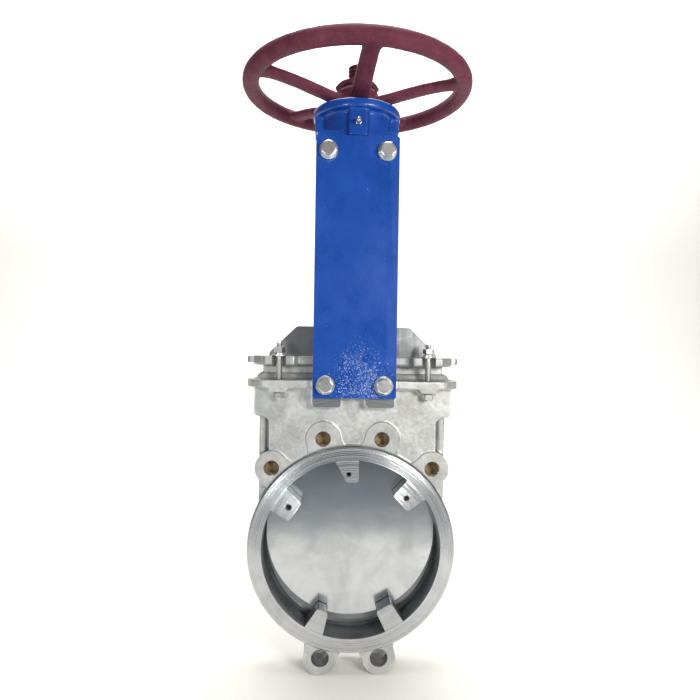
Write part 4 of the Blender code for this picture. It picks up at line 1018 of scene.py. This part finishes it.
def make_yoke_fasteners():
    low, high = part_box("yoke_bolt_front_lower_left")
    length = high[1] - low[1]
    head = hexagon(YOKE_FLATS, 0, YOKE_HEAD_H, chamfer=0.0010, below=False)
    shank = threaded(YOKE_BOLT_R, 0.0009, 0.00175, YOKE_HEAD_H - length, -0.0060)
    collar = lathe([(0, 0.001), (YOKE_COLLAR_R, 0.001), (YOKE_COLLAR_R, -0.0002), (0, -0.0002)], 48)
    bolt = bolt_along_z(head, YOKE_BOLT_R, 0.003, -0.0062, collar, shank)
    washer = flat_washer(YOKE_BOLT_R + GAP, YOKE_WASHER_R, 0, YOKE_WASHER_T, edge=0.0005)
    kinds = (("bolt", bolt, YOKE_HEAD_H, ZINC), ("washer", washer, YOKE_WASHER_T, WASHER))
    for kind, source, tall, finish in kinds:
        for face, level, side in product(("front", "back"), ("lower", "upper"), ("left", "right")):
            front = -1 if face == "front" else 1
            twist = 13 + (31 if side == "right" else 0) + (20 if level == "upper" else 0)
            name = f"yoke_{kind}_{face}_{level}_{side}"
            place_along_y(source, name, "frame", front, tall, finish, FLAT_CREASE, twist)
        bpy.data.objects.remove(source)


def make_yoke_head():
    half_x, half_y = YOKE_X - 0.0012, LEG_Y[1] - GAP
    low, high = DISC_Z
    disc = [
        (0, high),
        *reversed(arc((DISC_R - 0.0035, high - 0.0035), 0.0035, 0, math.pi / 2, 5)),
        *arc((DISC_R - 0.003, low + 0.003), 0.003, 0, -math.pi / 2, 4),
        (0, low),
    ]
    flare = 0.006
    drum = [
        (0, low + 0.003),
        (DRUM_R + flare, low + 0.003),
        *arc((DRUM_R + flare, low + 0.001 - flare), flare, math.pi / 2, math.pi, 5),
        (DRUM_R, DRUM_FOOT_Z),
        (0, DRUM_FOOT_Z),
    ]
    legs = rounded_box(half_x, (LEG_Z[1] - LEG_Z[0]) / 2, 0.004, centre=(0, sum(LEG_Z) / 2))
    half_cheek = (CHEEK_X[1] - CHEEK_X[0]) / 2
    flank = 0.0035
    rib = [(-RIB_HALF_X - flank, -0.034)]
    rib += arc((-RIB_HALF_X + flank, -RIB_Y + flank), flank, math.pi, math.pi * 1.5, 5)
    rib += [(-x, y) for x, y in reversed(rib)]
    solids = [
        lathe(disc, 160),
        lathe(drum, 128),
        slab([rounded_box(half_x, half_y + STOCK, 0.004)], *HEAD_FLOOR_Z),
        *upright_pair(legs, LEG_Y[0], LEG_Y[1] + STOCK),
        slab([rib], *RIB_Z),
        *[
            slab([rounded_box(half_cheek, CHEEK_Y, 0.003, centre=(side * sum(CHEEK_X) / 2, 0))], *CHEEK_Z)
            for side in (-1, 1)
        ],
    ]
    head = fused(solids, voxel=0.0010, rounds=6, keep=0.45, unevenness=0.0003)
    cutters = [
        drill(HEAD_BORE_R, (0, 0, 0.5), (0, 0, 0.58), steps=96),
        drill(HOUSING_R, (0, 0, 0.58), (0, 0, HEAD_FLOOR_Z[1]), steps=128),
        drill(NIPPLE_R + GAP, (0, -0.060, NIPPLE_Z), (0, -0.028, NIPPLE_Z)),
        block((-0.08, -0.08, DISC_Z[1]), (0.08, 0.08, DISC_Z[1] + 0.01), CAST),
        drill(0.008, (0, -RIB_Y - 0.006, NIPPLE_Z), (0, -RIB_Y + 0.0004, NIPPLE_Z), CAST),
    ]
    for front in (-1, 1):
        cutters.append(side_block(front, 0.06, half_y, RIB_Y + 0.003, (0.48, RIB_Z[0])))
    for x in (-YOKE_BOLT_X, YOKE_BOLT_X):
        cutters.append(drill_across(YOKE_BOLT_R + GAP, x, YOKE_BOLT_Z[1], 0.05))
    worked(head, cutters)
    piece(head, "yoke_head_casting", "frame", ["yoke_head"], [BLUE, PLAIN])


def make_grease_nipple():
    base = RIB_Y + GAP
    nose = [(0, 0.0130), (0.0010, 0.0130), (0.0018, 0.0125), (0.0030, 0.0112), (0.0032, 0.0102)]
    nose += [(0.0027, 0.0090), (0.0020, 0.0080), (0.0021, 0.0070), (0.0034, 0.0048), (0.0034, 0.0030)]
    nose += [(NIPPLE_R, 0.0030), (NIPPLE_R, -0.0100), (0, -0.0100)]
    turned = lathe([(radius, base + height) for radius, height in nose], 40)
    nipple = worked(turned, [hexagon(NIPPLE_FLATS, base, base + 0.0040, chamfer=0.0004)], "UNION")
    along_y(nipple, (0, 0, NIPPLE_Z), forward=True)
    piece(nipple, "grease_nipple_turned", "frame", ["grease_nipple"], [ZINC])


def make_bearing_parts():
    for name in ("thrust_bearing_lower", "thrust_bearing_upper"):
        low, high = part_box(name)
        ring = flat_washer(SLEEVE_R + GAP, high[0], low[2], high[2], edge=0.0005, steps=96)
        piece(ring, f"{name}_ring", "frame", [name], [PLAIN])
    low, high = box_z("bearing_cap")
    bore, plug, rim, step = 0.0200, 0.0307, 0.038, 0.5723
    top = [(bore, high - 0.0006), (bore + 0.0006, high), (rim - 0.0012, high), (rim, high - 0.0012)]
    foot = [(rim, step), (plug, step), (plug, low + 0.0008), (plug - 0.0008, low), (bore, low)]
    cap = lathe(top + foot, 128)
    pin_circle_r, pin_r, pin_depth = 0.029, 0.0025, 0.0035
    holes = []
    for index in range(4):
        angle = math.radians(45 + 90 * index)
        x, y = pin_circle_r * math.cos(angle), pin_circle_r * math.sin(angle)
        holes.append(drill(pin_r, (x, y, high + PAST), (x, y, high - pin_depth), CAST, 24))
    worked(cap, holes)
    piece(cap, "bearing_cap_turned", "frame", ["bearing_cap"], [PLAIN])


# ---- handwheel and stem ----


def spoke_height(radius):
    """Height of a spoke's middle line: level at the rim, dished towards the hub."""
    reach = (radius - HUB_R) / (WHEEL_R - HUB_R)
    return SPOKE_ROOT_Z + (RIM_Z - SPOKE_ROOT_Z) * math.sin(min(1, max(0, reach)) * math.pi / 2) ** 1.15


def make_spoke(azimuth):
    """Loft from the hub to the rim with full, rounded sides; it flares where it meets the rim."""
    sections, around = 28, 32
    start, end = 0.020, WHEEL_R - 0.002
    rows = []
    for i in range(sections):
        share = i / (sections - 1)
        radius = start + (end - start) * share
        near_rim = max(0, 1 - (WHEEL_R - RIM_R - radius) / 0.016) ** 2 if radius > 0.1 else 0
        half = SPOKE_HALF_WIDTH[0] + (SPOKE_HALF_WIDTH[1] - SPOKE_HALF_WIDTH[0]) * share
        half += SPOKE_FLARE * min(1, near_rim)
        row = []
        for j in range(around):
            angle = math.tau * j / around
            c, s = math.cos(angle), math.sin(angle)
            across = math.copysign(abs(c) ** 0.75, c)
            drop = SPOKE_BELOW if s < 0 else SPOKE_ABOVE
            height = spoke_height(radius) + drop * math.copysign(abs(s) ** 0.8, s)
            row.append((half * across, -radius, height))
        rows.append(row)
    return moved(grid(rows), Matrix.Rotation(azimuth, 4, "Z"))


def make_handwheel():
    low, high = HUB_Z
    hub = [
        (0, high),
        *reversed(arc((HUB_R - 0.003, high - 0.003), 0.003, 0, math.pi / 2, 4)),
        *arc((HUB_R - 0.002, low + 0.002), 0.002, 0, -math.pi / 2, 4),
        (0, low),
    ]
    solids = [lathe(circle((WHEEL_R, RIM_Z), RIM_R, 40), 200), lathe(hub, 96)]
    solids += [make_spoke(FIRST_SPOKE + math.tau * index / SPOKES) for index in range(SPOKES)]
    wheel = fused(solids, voxel=0.0010, rounds=4, keep=0.40, unevenness=0.0007, wave=0.010)
    key_way, below, above = KEY_HALF_W + GAP, 0.57, 0.62
    cutters = [
        drill(WHEEL_SEAT_R + GAP, (0, 0, below), (0, 0, above), steps=96),
        block((-key_way, 0.010, below), (key_way, KEY_Y[1] + GAP, above), MACHINED),
        drill(HUB_R + 0.004, (0, 0, high), (0, 0, high + 0.008), CAST, 64),
        drill(HUB_R + 0.002, (0, 0, low), (0, 0, below), CAST, 64),
    ]
    worked(wheel, cutters)
    piece(wheel, "handwheel_casting", "drive", ["handwheel"], [MAROON, PLAIN])


def make_stem_nut():
    low, high = box_z("stem_nut")
    sleeve, seat, collar, bore = SLEEVE_R, WHEEL_SEAT_R, 0.030, STEM_R + GAP
    collar_low, collar_high, seat_low = 0.5413, 0.5493, 0.5797
    top = [(bore, high - 0.0012), (bore + 0.0012, high), (seat - 0.001, high), (seat, high - 0.001)]
    middle = [(seat, seat_low), (sleeve, seat_low), (sleeve, collar_high), (collar, collar_high)]
    middle += [(collar, collar_low), (sleeve, collar_low)]
    foot = [(sleeve, low + 0.0008), (sleeve - 0.0008, low), (bore + 0.0012, low), (bore, low + 0.0012)]
    nut = lathe(top + middle + foot, 96)
    key_low, key_high = (Vector(corner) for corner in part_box("wheel_key"))
    gap = Vector((GAP, GAP, GAP))
    way_high = Vector((key_high.x + GAP, 0.025, key_high.z + PAST))
    worked(nut, [block(key_low - gap, way_high)])
    piece(nut, "stem_nut_turned", "drive", ["stem_nut"], [BRONZE])


def make_wheel_fastening():
    """Key, washer and nut that hold the handwheel on the stem nut."""
    key_low, key_high = (Vector(corner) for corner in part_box("wheel_key"))
    half_z, middle_z = (key_high.z - key_low.z) / 2, (key_high.z + key_low.z) / 2
    outline = rounded_box(key_high.x, half_z, 0.001, centre=(0, middle_z))
    key = slab([outline], key_low.y, key_high.y, upright=True, edge=0.0003)
    piece(key, "wheel_key_ground", "drive", ["wheel_key"], [PLAIN])
    low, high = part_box("wheel_washer")
    washer = flat_washer(WHEEL_SEAT_R + GAP, high[0], low[2], high[2], edge=0.0005, steps=96)
    piece(washer, "wheel_washer_turned", "drive", ["wheel_washer"], [ZINC])
    low, high = box_z("wheel_nut")
    nut = hexagon(0.050, low, high, chamfer=0.0015)
    bore = WHEEL_SEAT_R + GAP
    worked(nut, [drill(bore, (0, 0, high + PAST), (0, 0, low - PAST), CAST, 72, chamfer=0.001)])
    piece(nut, "wheel_nut_painted", "drive", ["wheel_nut"], [MAROON])


def make_stem():
    low, high = box_z("stem")
    painted = 0.6145
    thread = (STEM_R, STEM_THREAD_DEPTH, STEM_PITCH)
    stem = threaded(*thread, STEM_PLAIN_TOP_Z, high, -1, 48, 12, 0.002, square=True)
    foot = [(0, STEM_PLAIN_TOP_Z + 0.002), (STEM_R - GAP, STEM_PLAIN_TOP_Z + 0.002)]
    foot += [(STEM_R - GAP, low + 0.001), (STEM_R - 0.0013, low), (0, low)]
    worked(stem, [lathe(foot, 64)], "UNION")
    cross = STEM_R + 0.002
    worked(stem, [drill(STEM_PIN_R + GAP, (-cross, 0, STEM_PIN_Z), (cross, 0, STEM_PIN_Z), CAST, 24)])
    for face in stem.data.polygons:
        face.material_index = 1 if face.center.z > painted else 0
    piece(stem, "stem_threaded", "gate_and_stem", ["stem"], [GREASED, MAROON])


def make_clevis():
    low, high = box_z("gate_clevis")
    slot_top = GATE_TOP_Z + GAP
    edge = 0.0012
    half = (slot_top + 0.006 - low) / 2
    outline = rounded_box(CLEVIS_X, half, 0.003, centre=(0, low + half))
    cheeks = slab([outline], -CLEVIS_Y, CLEVIS_Y, upright=True, edge=edge)
    boss = slab([rounded_box(*CLEVIS_BOSS, 0.003)], slot_top - 0.004, high, edge=edge)
    worked(cheeks, [boss], "UNION")
    slot_y = GATE_HALF_T + GAP
    cutters = [
        block((-CLEVIS_X - PAST, -slot_y, low - PAST), (CLEVIS_X + PAST, slot_y, slot_top)),
        drill(STEM_R + GAP, (0, 0, high + PAST), (0, 0, slot_top - PAST), CAST, 64, 0.001),
        drill(STEM_PIN_R + GAP, (-0.03, 0, STEM_PIN_Z), (0.03, 0, STEM_PIN_Z), CAST, 24),
    ]
    for x in (-CLEVIS_BOLT_X, CLEVIS_BOLT_X):
        cutters.append(drill_across(CLEVIS_BOLT_R + GAP, x, CLEVIS_BOLT_Z, 0.02, CAST, 32))
    worked(cheeks, cutters)
    piece(cheeks, "gate_clevis_milled", "gate_and_stem", ["gate_clevis"], [PLAIN])
    low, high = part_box("stem_pin")
    ends = [(low[0], 0, STEM_PIN_Z), (high[0], 0, STEM_PIN_Z)]
    pin = drill(STEM_PIN_R, *ends, CAST, 32)
    piece(pin, "stem_pin_ground", "gate_and_stem", ["stem_pin"], [PLAIN])


def make_clevis_fasteners():
    low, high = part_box("clevis_bolt_1")
    length = high[1] - low[1]
    head = hexagon(CLEVIS_FLATS, 0, CLEVIS_HEAD_H, below=False)
    shank = threaded(CLEVIS_BOLT_R, 0.0007, 0.0015, CLEVIS_HEAD_H - length, -0.014)
    bolt = bolt_along_z(head, CLEVIS_BOLT_R, 0.002, -0.0145, shank)
    low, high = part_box("clevis_nut_1")
    nut_h = high[1] - low[1]
    bore = drill(CLEVIS_BOLT_R + 0.0001, (0, 0, nut_h + PAST), (0, 0, -PAST), CAST, 32, 0.0008)
    nut = worked(hexagon(CLEVIS_FLATS, 0, nut_h), [bore])
    for index in (1, 2):
        place_along_y(bolt, f"clevis_bolt_{index}", "gate_and_stem", -1, CLEVIS_HEAD_H, ZINC, ROUND_CREASE)
        place_along_y(nut, f"clevis_nut_{index}", "gate_and_stem", 1, nut_h, ZINC, ROUND_CREASE)
    bpy.data.objects.remove(bolt)
    bpy.data.objects.remove(nut)


def finish_packing():
    for index in (1, 2, 3):
        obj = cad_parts[f"packing_ring_{index}"]
        for slot in obj.material_slots:
            slot.material = PACKING


# ---- stage ----


def make_stage():
    """Pale floor that sweeps up into a pale backdrop, and turns grey well in front of the valve."""
    floor_z = CAD_BOX[0][2] - 0.0003
    rows = []
    profile = [(-6.0, floor_z), (1.4, floor_z)]
    profile += arc((1.4, floor_z + 0.9), 0.9, -math.pi / 2, 0, 24)[1:]
    profile += [(2.3, 5.0)]
    bm = bmesh.new()
    for y, z in profile:
        rows.append([bm.verts.new((x, y, z)) for x in (-6.0, 6.0)])
    for near, far in zip(rows, rows[1:]):
        bm.faces.new((near[0], near[1], far[1], far[0]))
    sweep = solid("sweep", bm)
    sweep.data.shade_smooth()
    f = Finish("pale_studio_paper")
    pale = f.mix(f.noise(0.30, 3, 0.5), (0.86, 0.845, 0.81), (0.90, 0.885, 0.85))
    near = f.remap(f.where("Y"), *SHEET_END_Y, soft=True)
    colour = f.mix(near, pale, (0.16, 0.185, 0.21))
    sweep.data.materials.append(f.done(colour, 0.85, f.bump(f.noise(0.004, 2), 0.0001)))


def area_light(name, at, aim, size, power, colour=(1, 1, 1)):
    data = bpy.data.lights.new(name, "AREA")
    data.shape = "RECTANGLE"
    data.size, data.size_y = size
    data.energy = power
    data.color = colour
    obj = show(name, data)
    obj.location = at
    obj.rotation_euler = (Vector(aim) - Vector(at)).to_track_quat("-Z", "Y").to_euler()


def make_light():
    world = bpy.data.worlds.new("studio")
    bpy.context.scene.world = world
    world.use_nodes = True
    back = world.node_tree.nodes["Background"]
    back.inputs["Color"].default_value = (0.90, 0.94, 1.0, 1)
    back.inputs["Strength"].default_value = 0.16
    middle = (0, 0, 0.18)
    area_light("key_right", (0.66, -1.10, 0.47), middle, (0.42, 0.28), 12.4, (1.0, 0.985, 0.95))
    area_light("fill_left", (-0.68, -1.18, 0.27), middle, (0.26, 0.40), 4.8, (0.93, 0.97, 1.0))
    area_light("top", (0.0, -0.05, 1.75), (0, -0.05, 0), (1.0, 0.8), 17, (1.0, 0.975, 0.93))
    area_light("backdrop", (0, 1.00, 2.4), (0, 2.3, 1.2), (4.0, 1.0), 95)


def make_camera():
    data = bpy.data.cameras.new("camera")
    data.sensor_width = 36
    data.lens = 30.2
    data.clip_start, data.clip_end = 0.01, 50
    camera = show("camera", data)
    pitch, roll, yaw = (math.radians(a) for a in (-0.55, -0.89, -2.33))
    turn = Matrix.Rotation(yaw, 4, "Z") @ Matrix.Rotation(pitch, 4, "X") @ Matrix.Rotation(roll, 4, "Y")
    level = Matrix.Rotation(math.pi / 2, 4, "X")
    camera.matrix_world = Matrix.Translation((-0.0361, -0.7847, 0.2653)) @ turn @ level
    bpy.context.scene.camera = camera


bpy.context.scene.view_settings.view_transform = "Standard"
make_body()
make_seat()
make_gate()
make_gland()
make_gland_fasteners()
make_yoke_plates()
make_yoke_fasteners()
make_yoke_head()
make_grease_nipple()
make_bearing_parts()
make_handwheel()
make_stem_nut()
make_wheel_fastening()
make_stem()
make_clevis()
make_clevis_fasteners()
finish_packing()
make_stage()
make_light()
make_camera()
